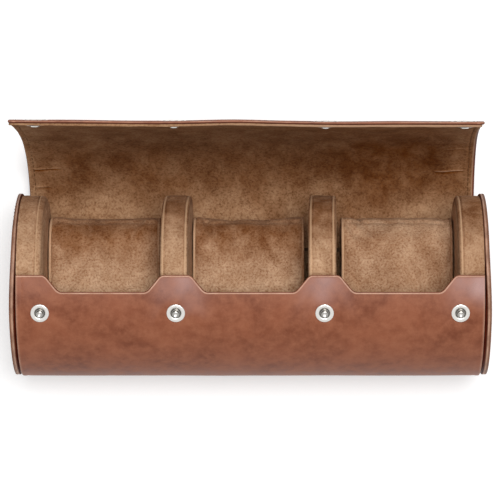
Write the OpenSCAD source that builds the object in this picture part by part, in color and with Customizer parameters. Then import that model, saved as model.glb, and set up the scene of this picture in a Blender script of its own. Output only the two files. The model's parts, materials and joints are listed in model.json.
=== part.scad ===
// Travel case for three wrist watches: a leather roll with a wrap-over flap that is held by
// four snaps, two end discs, suede-covered end pads and dividers, and three watch cushions.
// X runs along the roll, +Y is the back, where the flap is hinged, and +Z is up.
// The origin is on the flat that the roll rests on, under the middle of the roll.
// The flap is drawn open. Its shape is set with the flap closed, and each bend then opens it.

/* [Roll] */
// Outer radius of the leather roll
roll_radius = 50; // [46:0.5:58]
// Length of the leather between the end discs
wrap_length = 247; // [232:1:290]
// Width of the flat that the roll rests on
base_flat = 23.5; // [14:0.5:26]

/* [Leather and lining] */
// Thickness of the outer leather
leather = 1.6; // [1.3:0.1:2]
// Thickness of the stiffening board between leather and lining
board = 0.5; // [0.4:0.1:0.8]
// Thickness of the suede lining in the roll
lining = 0.8; // [0.6:0.1:1.2]
// Thickness of the suede and foam that line the flap
flap_lining = 1.3; // [1.2:0.1:1.6]

/* [Front panel] */
// How far the tabs reach past the top of the roll, towards the back
tab_reach = 4.5; // [0:0.5:8]
// Depth of the cut-outs between the tabs
notch_depth = 9.3; // [5:0.1:13]
// Width of the top of a middle tab
tab_width = 16; // [13:0.5:24]
// Width of the top of an end tab
end_tab_width = 14.8; // [13:0.1:20]
// Run of the slope on each side of a cut-out
slope_run = 7.4; // [3:0.1:10]

/* [End discs] */
// Thickness of an end disc
disc_thickness = 2.6; // [1.8:0.1:4]
// How much smaller the discs are than the roll, on the radius
disc_inset = 0.6; // [0.3:0.1:1.5]
// Gap between the edge of the wrap and the disc beside it
disc_gap = 0.8; // [0.4:0.1:1.5]

/* [Pads and dividers] */
// Thickness of an end pad up to the edge of the wrap
pad_thickness = 12.5; // [9:0.5:16]
// Thickness of a divider
divider_thickness = 14.5; // [8:0.5:18]
// Thickness of the suede cover on pads and dividers
cover = 0.8; // [0.5:0.1:1.5]
// Rounding of the rims of pads and dividers
rim_round = 2.6; // [1.8:0.1:4]
// Clearance of the rims under the closed flap
rim_clearance = 0.4; // [0.3:0.1:1]

/* [Cushions] */
// Width of a cushion along the roll
cushion_width = 60; // [44:0.5:61]
// Height of a cushion's front face, from front to back of the case
cushion_height = 71; // [60:0.5:72]
// Thickness of a cushion
cushion_thickness = 47; // [36:0.5:50]
// How far a cushion's edges are drawn in between its corners
cushion_draw = 0.9; // [0:0.1:2]
// How far a cushion's front and back are crowned
cushion_crown = 1.6; // [0:0.1:3]
// Thickness of a cushion's suede cover
cushion_cover = 1.2; // [0.8:0.1:2]
// Length of the closing seam under a cushion
cushion_seam = 36; // [20:1:40]
// Clearance of a cushion over the lining
cushion_clearance = 0.3; // [0.2:0.1:1]

/* [Flap] */
// Angle of the flap's hinge line below the back of the roll
hinge_drop = 65; // [55:1:75]
// Leather of the flap past the snaps
flap_reach = 8; // [7:0.5:14]
// Distance from the snaps to the last bend
tip_length = 14.5; // [12:0.5:18]
// Angle of the stiff first part of the flap
first_part = 78; // [60:1:90]
// Air between the closed flap and the front panel at the snaps
snap_gap = 2; // [1.9:0.1:3]
// Gap between two parts of the flap when it is closed
bend_gap = 0.1; // [0.06:0.02:0.3]
// How far the hinge is open
open_hinge = 32; // [0:1:40]
// How far the first bend is open
open_bend_1 = 7.5; // [0:0.5:20]
// How far the second bend is open
open_bend_2 = 17; // [0:0.5:25]
// How far the third bend is open
open_bend_3 = 23; // [0:0.5:30]
// How far the bend before the tip is open
open_tip = 22; // [0:0.5:35]

/* [Snaps] */
// Angle of the snaps ahead of the top of the roll
snap_angle = 18; // [10:1:30]
// Distance of the end snaps from the edge of the wrap
snap_inset = 12; // [9:0.5:16]
// Diameter of a stud's flange
stud_flange_d = 9.9; // [8:0.1:11]
// Height of the flange over the leather
stud_flange_h = 0.9; // [0.6:0.1:1]
// Diameter of a stud's post
stud_post_d = 3.6; // [3:0.1:4]
// Height of the post over the leather
stud_post_h = 2.9; // [2.4:0.1:2.9]
// Diameter of the rivet's head behind the leather
rivet_head_d = 7; // [5:0.5:8]
// Thickness of the rivet's head
rivet_head_h = 0.4; // [0.2:0.05:0.4]
// Diameter of the rivet's shank
rivet_shank_d = 2.2; // [1.6:0.1:2.6]
// Diameter of a socket's ring
socket_d = 9; // [7:0.1:10]
// Height of a socket's ring under the flap
socket_ring_h = 0.95; // [0.6:0.05:0.95]
// Diameter of a socket's cup
socket_cup_d = 6; // [5.4:0.1:7]
// Clearance of the post in the socket
snap_clearance = 0.3; // [0.2:0.05:0.4]
// Diameter of a cap on the outside of the flap
cap_d = 12.5; // [10:0.1:14]
// Height of a cap over the flap
cap_h = 1.4; // [1:0.1:2]
// Diameter of a cap's barrel
cap_barrel_d = 3.2; // [2.6:0.1:4]

/* [Hidden] */
$fn = 96;

// Heights and thicknesses of the roll
axis_z = sqrt(roll_radius * roll_radius - base_flat * base_flat / 4);
wrap_thickness = leather + board + lining;
inner_radius = roll_radius - wrap_thickness;
flap_thickness = leather + flap_lining;
far = 3 * roll_radius;

// Places along the roll
wrap_end = wrap_length / 2;
disc_face = wrap_end + disc_gap;
bay_width = (wrap_length - 2 * pad_thickness - 2 * divider_thickness) / 3;
divider_x = (bay_width + divider_thickness) / 2;
bay_pitch = bay_width + divider_thickness;
snap_places = [-wrap_end + snap_inset, -divider_x, divider_x, wrap_end - snap_inset];

// The closed flap is one arc. Its centre is moved from the roll's axis towards the snaps, so
// that it leaves the wrap at the hinge and clears the front panel by the snap gap.
hinge_polar = -hinge_drop;
snap_polar = 90 + snap_angle;
hinge_mid = roll_radius - flap_thickness / 2;
snap_mid = roll_radius + snap_gap + flap_thickness / 2;
hinge_turn = -cos(snap_polar - hinge_polar);
flap_shift = (snap_mid * snap_mid - hinge_mid * hinge_mid) / (2 * (snap_mid + hinge_mid * hinge_turn));
flap_centre = flap_shift * polar_dir(snap_polar);
flap_outer = snap_mid - flap_shift + flap_thickness / 2;
flap_inner = flap_outer - flap_thickness;
flap_seam = flap_inner + flap_lining;

// Polar angles of the flap's bends round its own centre, from the hinge to the lip
hinge_point = roll_radius * polar_dir(hinge_polar) - flap_centre;
bend_start = atan2(hinge_point[1], hinge_point[0]);
tip_bend = snap_polar - arc_angle(tip_length);
lip_polar = snap_polar + arc_angle(flap_reach);
part_angle = (tip_bend - bend_start - first_part) / 3;
bends = [
    bend_start,
    bend_start + first_part,
    bend_start + first_part + part_angle,
    bend_start + first_part + 2 * part_angle,
    tip_bend,
    lip_polar
];
opening = [open_hinge, open_bend_1, open_bend_2, open_bend_3, open_tip];
last_part = 4;

// Heights at a snap, measured out from the leather of the front panel
flap_in_z = snap_gap;
flap_seam_z = snap_gap + flap_lining;
flap_out_z = snap_gap + flap_thickness;
pressed_in = 0.06;
stud_sink = sagitta(stud_flange_d, roll_radius) + pressed_in;
cap_sink = sagitta(cap_d, flap_outer) + pressed_in;
cup_top_z = flap_seam_z - sagitta(socket_cup_d, flap_seam);
cup_roof = 0.1;
socket_bore_d = stud_post_d + 2 * snap_clearance;
shank_in_stud = 1;

// The cushion's outline is a superellipse, seated where its lower corners meet the lining
cushion_power = 3;
cushion_sides = 28;
cushion_corner = pow(0.5, 1 / cushion_power);
cushion_seat_r = inner_radius - cushion_clearance;
corner_y = cushion_height / 2 * cushion_corner;
corner_z = cushion_thickness / 2 * cushion_corner;
cushion_z = corner_z - sqrt(cushion_seat_r * cushion_seat_r - corner_y * corner_y);
seam_slot = 1;
// Each ring of a cushion: its place along the width, as a share of half the width, and its size
cushion_rings = [
    [-0.99, 0.55], [-0.965, 0.88], [-0.92, 0.965], [-0.8, 0.995], [-0.4, 1],
    [0, 1],
    [0.4, 1], [0.8, 0.995], [0.92, 0.965], [0.965, 0.88], [0.99, 0.55]
];

function polar_dir(angle) = [cos(angle), sin(angle)];
function arc_angle(arc) = arc / (flap_inner + flap_thickness / 2) * 180 / PI;
function sagitta(width, radius) = radius - sqrt(radius * radius - width * width / 4);
function signed_pow(value, power) = sign(value) * pow(abs(value), power);

// Turns a section drawn in Y and Z into a solid along X, centred on X = 0
module along_x(length) {
    rotate([90, 0, 90])
        linear_extrude(length, center = true)
            children();
}

module at_axis() {
    translate([0, 0, axis_z])
        children();
}

// The roll's outline, moved in by inset, with the flat that it rests on
module roll_outline(inset) {
    intersection() {
        circle(roll_radius - inset);
        translate([-far, -axis_z + inset])
            square([2 * far, 2 * far]);
    }
}

// The open side of the roll, from the hinge line round the back to the tops of the tabs
module open_side() {
    polygon([
        [0, 0],
        far * polar_dir(hinge_polar),
        [2 * far, -far],
        [2 * far, far],
        [tab_reach, far],
        [tab_reach, 0]
    ]);
}

// The cut-out in front of one bay, cut straight down, with bay 0 at the left
module notch(bay) {
    left = bay == 0 ? -wrap_end + end_tab_width : (bay - 1.5) * bay_pitch + tab_width / 2;
    right = bay == 2 ? wrap_end - end_tab_width : (bay - 0.5) * bay_pitch - tab_width / 2;
    floor_y = tab_reach - notch_depth;
    linear_extrude(far)
        polygon([
            [left, tab_reach],
            [left + slope_run, floor_y],
            [right - slope_run, floor_y],
            [right, tab_reach],
            [right, tab_reach + slope_run],
            [left, tab_reach + slope_run]
        ]);
}

// One layer of the rolled body
module wrap_layer(inset, thickness) {
    difference() {
        along_x(wrap_length)
            difference() {
                roll_outline(inset);
                roll_outline(inset + thickness);
                open_side();
            }
        for (bay = [0:2])
            notch(bay);
    }
}

// Places its children at each snap, with +Z pointing out of the front panel's leather
module at_snaps() {
    for (x = snap_places)
        translate([x, 0, 0])
            rotate([snap_angle, 0, 0])
                translate([0, 0, roll_radius])
                    children();
}

module outer_wrap() {
    color("sienna")
        at_axis()
            difference() {
                wrap_layer(0, leather);
                at_snaps() {
                    translate([0, 0, -stud_sink])
                        cylinder(h = far, d = stud_flange_d);
                    translate([0, 0, -2 * leather])
                        cylinder(h = 2 * leather, d = rivet_shank_d);
                    translate([0, 0, -leather - rivet_head_h])
                        cylinder(h = rivet_head_h, d = rivet_head_d);
                }
            }
}

module wrap_board() {
    color("tan")
        at_axis()
            difference() {
                wrap_layer(leather, board);
                at_snaps()
                    translate([0, 0, -leather - board])
                        cylinder(h = leather + board, d = rivet_head_d);
            }
}

module body_lining() {
    color("peru")
        at_axis()
            wrap_layer(leather + board, lining);
}

module end_disc(side) {
    disc_radius = roll_radius - disc_inset;
    color("saddlebrown")
        at_axis()
            translate([side * (disc_face + disc_thickness / 2), 0, 0])
                along_x(disc_thickness)
                    intersection() {
                        circle(disc_radius);
                        translate([-far, -axis_z])
                            square([2 * far, 2 * far]);
                    }
}

// A disc along X from 0 to thickness, with its rim rounded at the far end, or at both ends
module rounded_disc(radius, thickness, both) {
    round_x = both ? rim_round : 0;
    rotate([90, 0, 90])
        rotate_extrude()
            union() {
                translate([0, round_x])
                    square([radius, thickness - rim_round - round_x]);
                square([radius - rim_round, thickness]);
                translate([radius - rim_round, thickness - rim_round])
                    circle(rim_round);
                if (both)
                    translate([radius - rim_round, rim_round])
                        circle(rim_round);
            }
}

// The outline of a pad or divider: it fills the roll, and clears the closed flap
module fill_outline() {
    difference() {
        roll_outline(wrap_thickness);
        difference() {
            open_side();
            circle(inner_radius - rim_clearance);
        }
    }
}

// A pad or divider from x = 0, with its surface moved in by skin on the rim and the faces
module filler(thickness, both, skin) {
    near_skin = both ? skin : 0;
    core_clearance = skin > 0 ? rim_clearance : 0;
    intersection() {
        translate([near_skin, 0, 0])
            rounded_disc(inner_radius - skin, thickness - skin - near_skin, both);
        along_x(3 * thickness)
            intersection() {
                fill_outline();
                circle(inner_radius - core_clearance - skin);
            }
    }
}

module filler_core(thickness, both) {
    filler(thickness, both, cover);
}

module filler_cover(thickness, both) {
    difference() {
        filler(thickness, both, 0);
        filler(thickness, both, cover);
    }
}

// Places an end pad against its disc, with its rounded rim towards the middle
module at_pad(side) {
    at_axis()
        mirror([side > 0 ? 1 : 0, 0, 0])
            translate([-disc_face, 0, 0])
                children();
}

module at_divider(side) {
    at_axis()
        translate([side * divider_x - divider_thickness / 2, 0, 0])
            children();
}

module end_pad_core(side) {
    color("burlywood")
        at_pad(side)
            filler_core(pad_thickness + disc_gap, false);
}

module end_pad_cover(side) {
    color("peru")
        at_pad(side)
            filler_cover(pad_thickness + disc_gap, false);
}

module divider_core(side) {
    color("burlywood")
        at_divider(side)
            filler_core(divider_thickness, true);
}

module divider_cover(side) {
    color("peru")
        at_divider(side)
            filler_cover(divider_thickness, true);
}

module snap_studs() {
    color("silver")
        at_axis()
            at_snaps()
                difference() {
                    union() {
                        translate([0, 0, -stud_sink])
                            cylinder(h = stud_sink + stud_flange_h, d = stud_flange_d);
                        cylinder(h = stud_post_h, d = stud_post_d);
                    }
                    translate([0, 0, -stud_sink])
                        cylinder(h = stud_sink + shank_in_stud, d = rivet_shank_d);
                }
}

module snap_stud_rivets() {
    color("gray")
        at_axis()
            at_snaps()
                translate([0, 0, -leather]) {
                    translate([0, 0, -rivet_head_h])
                        cylinder(h = rivet_head_h, d = rivet_head_d);
                    cylinder(h = leather + shank_in_stud, d = rivet_shank_d);
                }
}

// Turns its children about one bend of the closed flap, by how far that bend is open
module open_one(bend) {
    pivot = flap_centre + flap_outer * polar_dir(bends[bend]);
    translate([0, pivot[0], pivot[1]])
        rotate([-opening[bend], 0, 0])
            translate([0, -pivot[0], -pivot[1]])
                children();
}

// Opens every bend from the hinge up to the one at the root of a part
module opened(part, bend = 0) {
    if (bend > part)
        children();
    else
        open_one(bend)
            opened(part, bend + 1)
                children();
}

// A slice of the closed flap between two polar angles round its own centre
module flap_slice(start, end, inner, outer) {
    middle = (start + end) / 2;
    translate(flap_centre)
        intersection() {
            difference() {
                circle(outer);
                circle(inner);
            }
            polygon([
                [0, 0],
                far * polar_dir(start),
                far * polar_dir(middle),
                far * polar_dir(end)
            ]);
        }
}

// One part of a flap layer, with half of the bend gap left free at each bend
module flap_part(part, inner, outer) {
    half_gap = bend_gap / 2 / flap_outer * 180 / PI;
    end_gap = part == last_part ? 0 : half_gap;
    along_x(wrap_length)
        flap_slice(bends[part] + half_gap, bends[part + 1] - end_gap, inner, outer);
}

module flap_leather(part) {
    color("sienna")
        at_axis()
            opened(part)
                difference() {
                    flap_part(part, flap_seam, flap_outer);
                    if (part == last_part)
                        at_snaps() {
                            cylinder(h = far, d = cap_barrel_d);
                            translate([0, 0, flap_out_z - cap_sink])
                                cylinder(h = far, d = cap_d);
                        }
                }
}

module flap_lining_layer(part) {
    color("peru")
        at_axis()
            opened(part)
                difference() {
                    flap_part(part, flap_inner, flap_seam);
                    if (part == last_part)
                        at_snaps() {
                            cylinder(h = far, d = socket_cup_d);
                            cylinder(h = flap_in_z, d = socket_d);
                        }
                }
}

module snap_sockets() {
    color("silver")
        at_axis()
            opened(last_part)
                at_snaps()
                    difference() {
                        union() {
                            translate([0, 0, flap_in_z - socket_ring_h])
                                cylinder(h = socket_ring_h, d = socket_d);
                            translate([0, 0, flap_in_z - socket_ring_h])
                                cylinder(h = cup_top_z - flap_in_z + socket_ring_h, d = socket_cup_d);
                        }
                        cylinder(h = cup_top_z - cup_roof, d = socket_bore_d);
                    }
}

module snap_caps() {
    base_z = flap_out_z - cap_sink;
    rise = cap_sink + cap_h;
    rim_h = rise / 3;
    dome_h = rise - rim_h;
    dome_radius = (cap_d * cap_d / 4 + dome_h * dome_h) / (2 * dome_h);
    color("silver")
        at_axis()
            opened(last_part)
                at_snaps() {
                    translate([0, 0, cup_top_z])
                        cylinder(h = base_z - cup_top_z + rim_h, d = cap_barrel_d);
                    intersection() {
                        translate([0, 0, base_z + rise - dome_radius])
                            sphere(dome_radius);
                        translate([0, 0, base_z])
                            cylinder(h = 2 * rise, d = cap_d);
                    }
                }
}

// One point of a ring: the outline is drawn in along the middle of its edges and crowned
// on the faces, and both fade towards the corners of the cushion
function cushion_point(share, size, step, skin) =
    let (
        angle = 360 * step / cushion_sides,
        bulge = cushion_crown * (1 - share * share),
        pull = cushion_draw * (1 - share * share),
        half_y = cushion_height / 2 - skin - pull,
        half_z = cushion_thickness / 2 - skin - cushion_crown + bulge,
        side = signed_pow(sin(angle), 2 / cushion_power),
        edge = signed_pow(cos(angle), 2 / cushion_power),
        reach_x = (cushion_width / 2 - skin) * share
    )
    [reach_x, half_y * size * edge, half_z * size * side];

// A closed cushion, skin inside its outer surface
module cushion_form(skin) {
    rings = len(cushion_rings);
    count = cushion_sides;
    ring_points = [
        for (ring = cushion_rings)
            for (step = [0:count - 1])
                cushion_point(ring[0], ring[1], step, skin)
    ];
    tip_x = cushion_width / 2 - skin;
    points = concat(ring_points, [[-tip_x, 0, 0], [tip_x, 0, 0]]);
    first_tip = rings * count;
    last_ring = (rings - 1) * count;
    sides = [
        for (ring = [0:rings - 2])
            for (step = [0:count - 1])
                let (
                    next = (step + 1) % count,
                    low = ring * count,
                    high = low + count
                )
                each [
                    [low + step, high + step, low + next],
                    [low + next, high + step, high + next]
                ]
    ];
    first_cap = [
        for (step = [0:count - 1])
            [first_tip, step, (step + 1) % count]
    ];
    last_cap = [
        for (step = [0:count - 1])
            [first_tip + 1, last_ring + (step + 1) % count, last_ring + step]
    ];
    polyhedron(points, concat(sides, first_cap, last_cap), convexity = 4);
}

module at_cushion(bay) {
    at_axis()
        translate([(bay - 1) * bay_pitch, 0, cushion_z])
            children();
}

module cushion_core_form(bay) {
    color("wheat")
        at_cushion(bay)
            cushion_form(cushion_cover);
}

// The cover is open along its closing seam, underneath
module cushion_cover_form(bay) {
    color("chocolate")
        at_cushion(bay)
            difference() {
                cushion_form(0);
                cushion_form(cushion_cover);
                translate([-cushion_seam / 2, -seam_slot / 2, -cushion_thickness])
                    cube([cushion_seam, seam_slot, cushion_thickness]);
            }
}

outer_wrap();
wrap_board();
body_lining();
end_disc(-1);  // end_disc_left
end_disc(1);  // end_disc_right
end_pad_core(-1);  // end_pad_core_left
end_pad_core(1);  // end_pad_core_right
end_pad_cover(-1);  // end_pad_cover_left
end_pad_cover(1);  // end_pad_cover_right
divider_core(-1);  // divider_core_left
divider_core(1);  // divider_core_right
divider_cover(-1);  // divider_cover_left
divider_cover(1);  // divider_cover_right
snap_studs();
snap_stud_rivets();
flap_leather(0);  // flap_leather_1
flap_leather(1);  // flap_leather_2
flap_leather(2);  // flap_leather_3
flap_leather(3);  // flap_leather_4
flap_leather(4);  // flap_leather_5
flap_lining_layer(0);  // flap_lining_1
flap_lining_layer(1);  // flap_lining_2
flap_lining_layer(2);  // flap_lining_3
flap_lining_layer(3);  // flap_lining_4
flap_lining_layer(4);  // flap_lining_5
snap_sockets();
snap_caps();
cushion_core_form(0);  // cushion_core_left
cushion_core_form(1);  // cushion_core_middle
cushion_core_form(2);  // cushion_core_right
cushion_cover_form(0);  // cushion_cover_left
cushion_cover_form(1);  // cushion_cover_middle
cushion_cover_form(2);  // cushion_cover_right
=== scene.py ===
import json
import math

import bpy
import numpy as np
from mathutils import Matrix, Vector


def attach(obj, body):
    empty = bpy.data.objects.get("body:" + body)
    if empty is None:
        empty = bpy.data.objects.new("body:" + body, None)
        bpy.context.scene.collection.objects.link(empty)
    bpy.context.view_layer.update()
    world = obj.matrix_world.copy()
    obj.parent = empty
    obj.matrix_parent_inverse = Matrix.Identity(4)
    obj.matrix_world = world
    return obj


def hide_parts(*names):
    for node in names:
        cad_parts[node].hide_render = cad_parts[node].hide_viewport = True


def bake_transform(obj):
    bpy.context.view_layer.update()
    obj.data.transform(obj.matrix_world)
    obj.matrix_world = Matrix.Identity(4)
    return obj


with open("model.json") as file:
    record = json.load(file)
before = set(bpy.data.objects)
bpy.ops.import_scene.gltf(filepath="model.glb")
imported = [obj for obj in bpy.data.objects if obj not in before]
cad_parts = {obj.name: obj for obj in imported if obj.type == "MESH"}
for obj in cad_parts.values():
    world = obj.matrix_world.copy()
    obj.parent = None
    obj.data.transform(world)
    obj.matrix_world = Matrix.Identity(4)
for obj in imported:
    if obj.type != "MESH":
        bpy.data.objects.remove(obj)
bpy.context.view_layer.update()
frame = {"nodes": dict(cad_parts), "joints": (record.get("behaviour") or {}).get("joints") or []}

# Sizes of the case in millimetres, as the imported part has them
ROLL_R = 50.0
WRAP_END = 123.5
SKIN_HALF = 124.1
LINING_HALF = 123.3
BASE_FLAT = 23.5
LEATHER = 1.6
BOARD = 0.5
LINING = 0.8
FLAP_LINING = 1.3
FLAP_THICK = LEATHER + FLAP_LINING
TAB_REACH = 4.7
NOTCH_DEPTH = 8.9
TAB_WIDTH = 16.0
END_TAB_WIDTH = 14.8
SLOPE_RUN = 7.4
DISC_R = 49.4
DISC_FACE = 124.3
DISC_THICK = 2.6
PAD_THICK = 12.5
DIVIDER_THICK = 14.5
CUSHION_WIDTH = 60.0
CUSHION_HEIGHT = 71.0
CUSHION_THICK = 47.0
AXIS_Z = math.sqrt(ROLL_R**2 - BASE_FLAT**2 / 4)
INNER_R = ROLL_R - LEATHER - BOARD - LINING
BAY_WIDTH = (2 * WRAP_END - 2 * PAD_THICK - 2 * DIVIDER_THICK) / 3
BAY_PITCH = BAY_WIDTH + DIVIDER_THICK
DIVIDER_X = BAY_PITCH / 2

# The closed flap is one arc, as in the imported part
HINGE_POLAR = -65.0
SNAP_POLAR = 108.0
SNAP_GAP = 2.0
SNAP_INSET = 12.0
FLAP_REACH = 8.0
TIP_LENGTH = 14.5
FIRST_PART = 78.0
SNAP_X = [-WRAP_END + SNAP_INSET, -DIVIDER_X, DIVIDER_X, WRAP_END - SNAP_INSET]

MM = 0.001
# Thread, pitch of its stitches, and distance of the seams from the edges
THREAD_D = 0.55
STITCH_PITCH = 3.3
SEAM_INSET = 3.0
# Steps of a rounded edge, and waves that make up a soft variation
ROUND_STEPS = 4
CLOUD_WAVES = 8


def direction(degrees):
    turn = np.radians(degrees)
    return np.stack([np.cos(turn), np.sin(turn)], axis=-1)


def smooth(value, low, high):
    share = np.clip((value - low) / (high - low), 0, 1)
    return share * share * (3 - 2 * share)


def between(value, low, full, fading, gone):
    """0 below low, 1 from full to fading, and 0 again above gone."""
    return smooth(value, low, full) * (1 - smooth(value, fading, gone))


def ridge(value, middle, width):
    return np.exp(-(((value - middle) / width) ** 2))


def cloud(u, v, size, seed):
    """Soft variation around 0 over a surface, with patches of about that size."""
    draw = np.random.default_rng(seed)
    total = 0.0
    for _ in range(CLOUD_WAVES):
        turn = draw.uniform(0, 2 * math.pi)
        length = size * draw.uniform(0.7, 1.7)
        phase = draw.uniform(0, 2 * math.pi)
        total = total + np.sin((u * math.cos(turn) + v * math.sin(turn)) * 2 * math.pi / length + phase)
    return total / CLOUD_WAVES**0.5


def downward(polar):
    """How far down a direction points, and never quite 0."""
    return np.maximum(-np.sin(np.radians(polar)), 1e-6)


def turned(points, centre, degrees):
    turn = math.radians(degrees)
    matrix = np.array([[math.cos(turn), -math.sin(turn)], [math.sin(turn), math.cos(turn)]])
    return (points - centre) @ matrix.T + centre


# Where the flap lies

hinge_mid = ROLL_R - FLAP_THICK / 2
snap_mid = ROLL_R + SNAP_GAP + FLAP_THICK / 2
hinge_turn = -math.cos(math.radians(SNAP_POLAR - HINGE_POLAR))
flap_shift = (snap_mid**2 - hinge_mid**2) / (2 * (snap_mid + hinge_mid * hinge_turn))
flap_centre = flap_shift * direction(SNAP_POLAR)
flap_outer = snap_mid - flap_shift + FLAP_THICK / 2
flap_mid = flap_outer - FLAP_THICK / 2
hinge_place = ROLL_R * direction(HINGE_POLAR) - flap_centre
bend_start = math.degrees(math.atan2(hinge_place[1], hinge_place[0]))
tip_polar = SNAP_POLAR - math.degrees(TIP_LENGTH / flap_mid)
lip_polar = SNAP_POLAR + math.degrees(FLAP_REACH / flap_mid)
part_angle = (tip_polar - bend_start - FIRST_PART) / 3
bend_polar = [bend_start] + [bend_start + FIRST_PART + part_angle * step for step in range(4)]
bend_s = [math.radians(angle - bend_start) * flap_mid for angle in bend_polar]
lip_s = math.radians(lip_polar - bend_start) * flap_mid
snap_s = math.radians(SNAP_POLAR - bend_start) * flap_mid
pivots = [flap_centre + flap_outer * direction(angle) for angle in bend_polar]
flap_joints = [joint for joint in frame["joints"] if joint["type"] == "hinge"]
opening = [-joint["range_deg"][0] for joint in flap_joints]
flap_bodies = ["roll", "flap_1", "flap_2", "flap_3", "flap_4", "flap_tip"]

# The stretches over which the flap bends, and where its pieces meet
half_part = (bend_s[2] - bend_s[1]) / 2
FLAP_START = -9.0
bend_zones = [(-8.0, 12.0)]
bend_zones += [(bend_s[bend] - half_part, bend_s[bend] + half_part) for bend in (1, 2, 3)]
bend_zones += [(bend_s[4] - 10.0, bend_s[4] + 10.0)]
piece_ends = [FLAP_START, bend_s[1] / 2] + [zone[1] for zone in bend_zones[1:4]] + [lip_s]

# How far in the lip of the opened flap has come from its even curve
LIP_DRAW = 0.55
LIP_TURN = 0.85
LIP_TURN_LENGTH = 10.0
LIP_SLANT = 0.45
# Waves of the lip: place and width as a share of half its length, and height
LIP_WAVES = [(-0.42, 0.2, 0.3), (-0.04, 0.15, -0.5), (0.4, 0.18, 0.3)]


def closed_edge(s):
    """Outer face of the closed flap, and of the roll before the hinge: places and headings."""
    s = np.asarray(s, float)
    on_roll = s < 0
    polar = np.where(
        on_roll,
        HINGE_POLAR + np.degrees(s / hinge_mid),
        bend_start + np.degrees(s / flap_mid),
    )
    radius = np.where(on_roll, ROLL_R, flap_outer)[:, None]
    centre = np.where(on_roll[:, None], 0.0, flap_centre[None, :])
    return centre + radius * direction(polar), direction(polar + 90)


def at_rest(points, headings, part):
    """Opens every bend up to the one at the root of a part."""
    for bend in range(part, -1, -1):
        points = turned(points, pivots[bend], -opening[bend])
        headings = turned(headings, np.zeros(2), -opening[bend])
    return points, headings


def flap_edge(s):
    """Outer face of the flap at rest: places and headings, smooth over every bend."""
    s = np.asarray(s, float)
    places = np.zeros((len(s), 2))
    headings = np.zeros((len(s), 2))
    for part in range(-1, 5):
        low = -1e9 if part < 0 else bend_s[part]
        high = 1e9 if part == 4 else bend_s[part + 1]
        found = (s >= low) & (s < high)
        if found.any():
            places[found], headings[found] = at_rest(*closed_edge(s[found]), part)
    for bend, (low, high) in enumerate(bend_zones):
        found = (s > low) & (s < high)
        if not found.any():
            continue
        a, ta = at_rest(*closed_edge([low]), bend - 1)
        b, tb = at_rest(*closed_edge([high]), bend)
        reach = np.linalg.norm(b - a)
        t = ((s[found] - low) / (high - low))[:, None]
        places[found] = (
            (2 * t**3 - 3 * t**2 + 1) * a
            + (t**3 - 2 * t**2 + t) * reach * ta
            + (3 * t**2 - 2 * t**3) * b
            + (t**3 - t**2) * reach * tb
        )
        slope = (
            (6 * t**2 - 6 * t) * a
            + (3 * t**2 - 4 * t + 1) * reach * ta
            + (6 * t - 6 * t**2) * b
            + (3 * t**2 - 2 * t) * reach * tb
        )
        headings[found] = slope / np.linalg.norm(slope, axis=1)[:, None]
    return places, headings


def flap_wave(x, s):
    """How far the soft flap strays inwards from its even curve."""
    share = x / WRAP_END
    hang = LIP_DRAW + LIP_SLANT * share
    for place, width, height in LIP_WAVES:
        hang = hang + height * ridge(share, place, width)
    soft = 0.3 * cloud(x, s * 0.6, 95, 11) * between(s, 14, 60, 100, 145)
    turned_back = np.maximum(0.0, 1 - (lip_s - s) / LIP_TURN_LENGTH) ** 2
    return soft + hang * smooth(s, 60, 145) - LIP_TURN * turned_back


def flap_skew(s):
    """The flap hangs a little to the left at its lip."""
    return 0.3 * smooth(s, 0, 30) - 2.1 * smooth(s, 20, 130)


def flap_spread(x, s):
    """The flap's sides have spread a little, and its lip has drawn in."""
    return (0.25 + 0.6 * smooth(s, 30, 120) - 1.3 * smooth(s, 116, lip_s)) * x / WRAP_END


def flap_point(x, s, depth):
    """Places on the flap at rest, depth in from its outer face."""
    places, headings = flap_edge(s)
    inward = np.stack([-headings[:, 1], headings[:, 0]], axis=-1)
    deep = depth + flap_wave(x, s)
    section = places + inward * deep[:, None]
    return np.column_stack([x + flap_skew(s) + flap_spread(x, s), section])


def wrap_radius(polar, depth):
    """Radius of the roll at a polar angle, depth in from its outer face, with the base flat."""
    return np.minimum(ROLL_R - depth, (AXIS_Z - depth) / downward(polar))


# Meshes


def make_piece(name, points, faces, material, flow=None, edge=None, sharp=45, shade=None):
    """A piece from points in millimetres from the roll's axis, with where each lies on its leather."""
    shifted = (np.asarray(points, float) + [0, 0, AXIS_Z]) * MM
    shifted[:, 2] = np.maximum(shifted[:, 2], 0)
    mesh = bpy.data.meshes.new(name)
    mesh.from_pydata(shifted.tolist(), [], [list(map(int, face)) for face in faces])
    mesh.update()
    if signed_volume(shifted, faces) < 0:
        mesh.flip_normals()
    mesh.polygons.foreach_set("use_smooth", [True] * len(mesh.polygons))
    mesh.set_sharp_from_angle(angle=math.radians(sharp))
    if flow is not None:
        layer = mesh.attributes.new("flow", "FLOAT_VECTOR", "POINT")
        layer.data.foreach_set("vector", np.asarray(flow, np.float32).ravel())
    for name_of_layer, values in (("edge", edge), ("shade", shade)):
        if values is not None:
            layer = mesh.attributes.new(name_of_layer, "FLOAT", "POINT")
            layer.data.foreach_set("value", np.asarray(values, np.float32).ravel())
    mesh.materials.append(material)
    piece = bpy.data.objects.new(name, mesh)
    bpy.context.scene.collection.objects.link(piece)
    return piece


def signed_volume(points, faces):
    total = 0.0
    for size in {len(face) for face in faces}:
        same = np.array([face for face in faces if len(face) == size])
        for corner in range(1, size - 1):
            a, b, c = points[same[:, 0]], points[same[:, corner]], points[same[:, corner + 1]]
            total += float((a * np.cross(b, c)).sum())
    return total


def quads(*corners):
    """Faces with four corners, from four arrays of the same shape."""
    return np.stack(corners, axis=-1).reshape(-1, 4).tolist()


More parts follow.
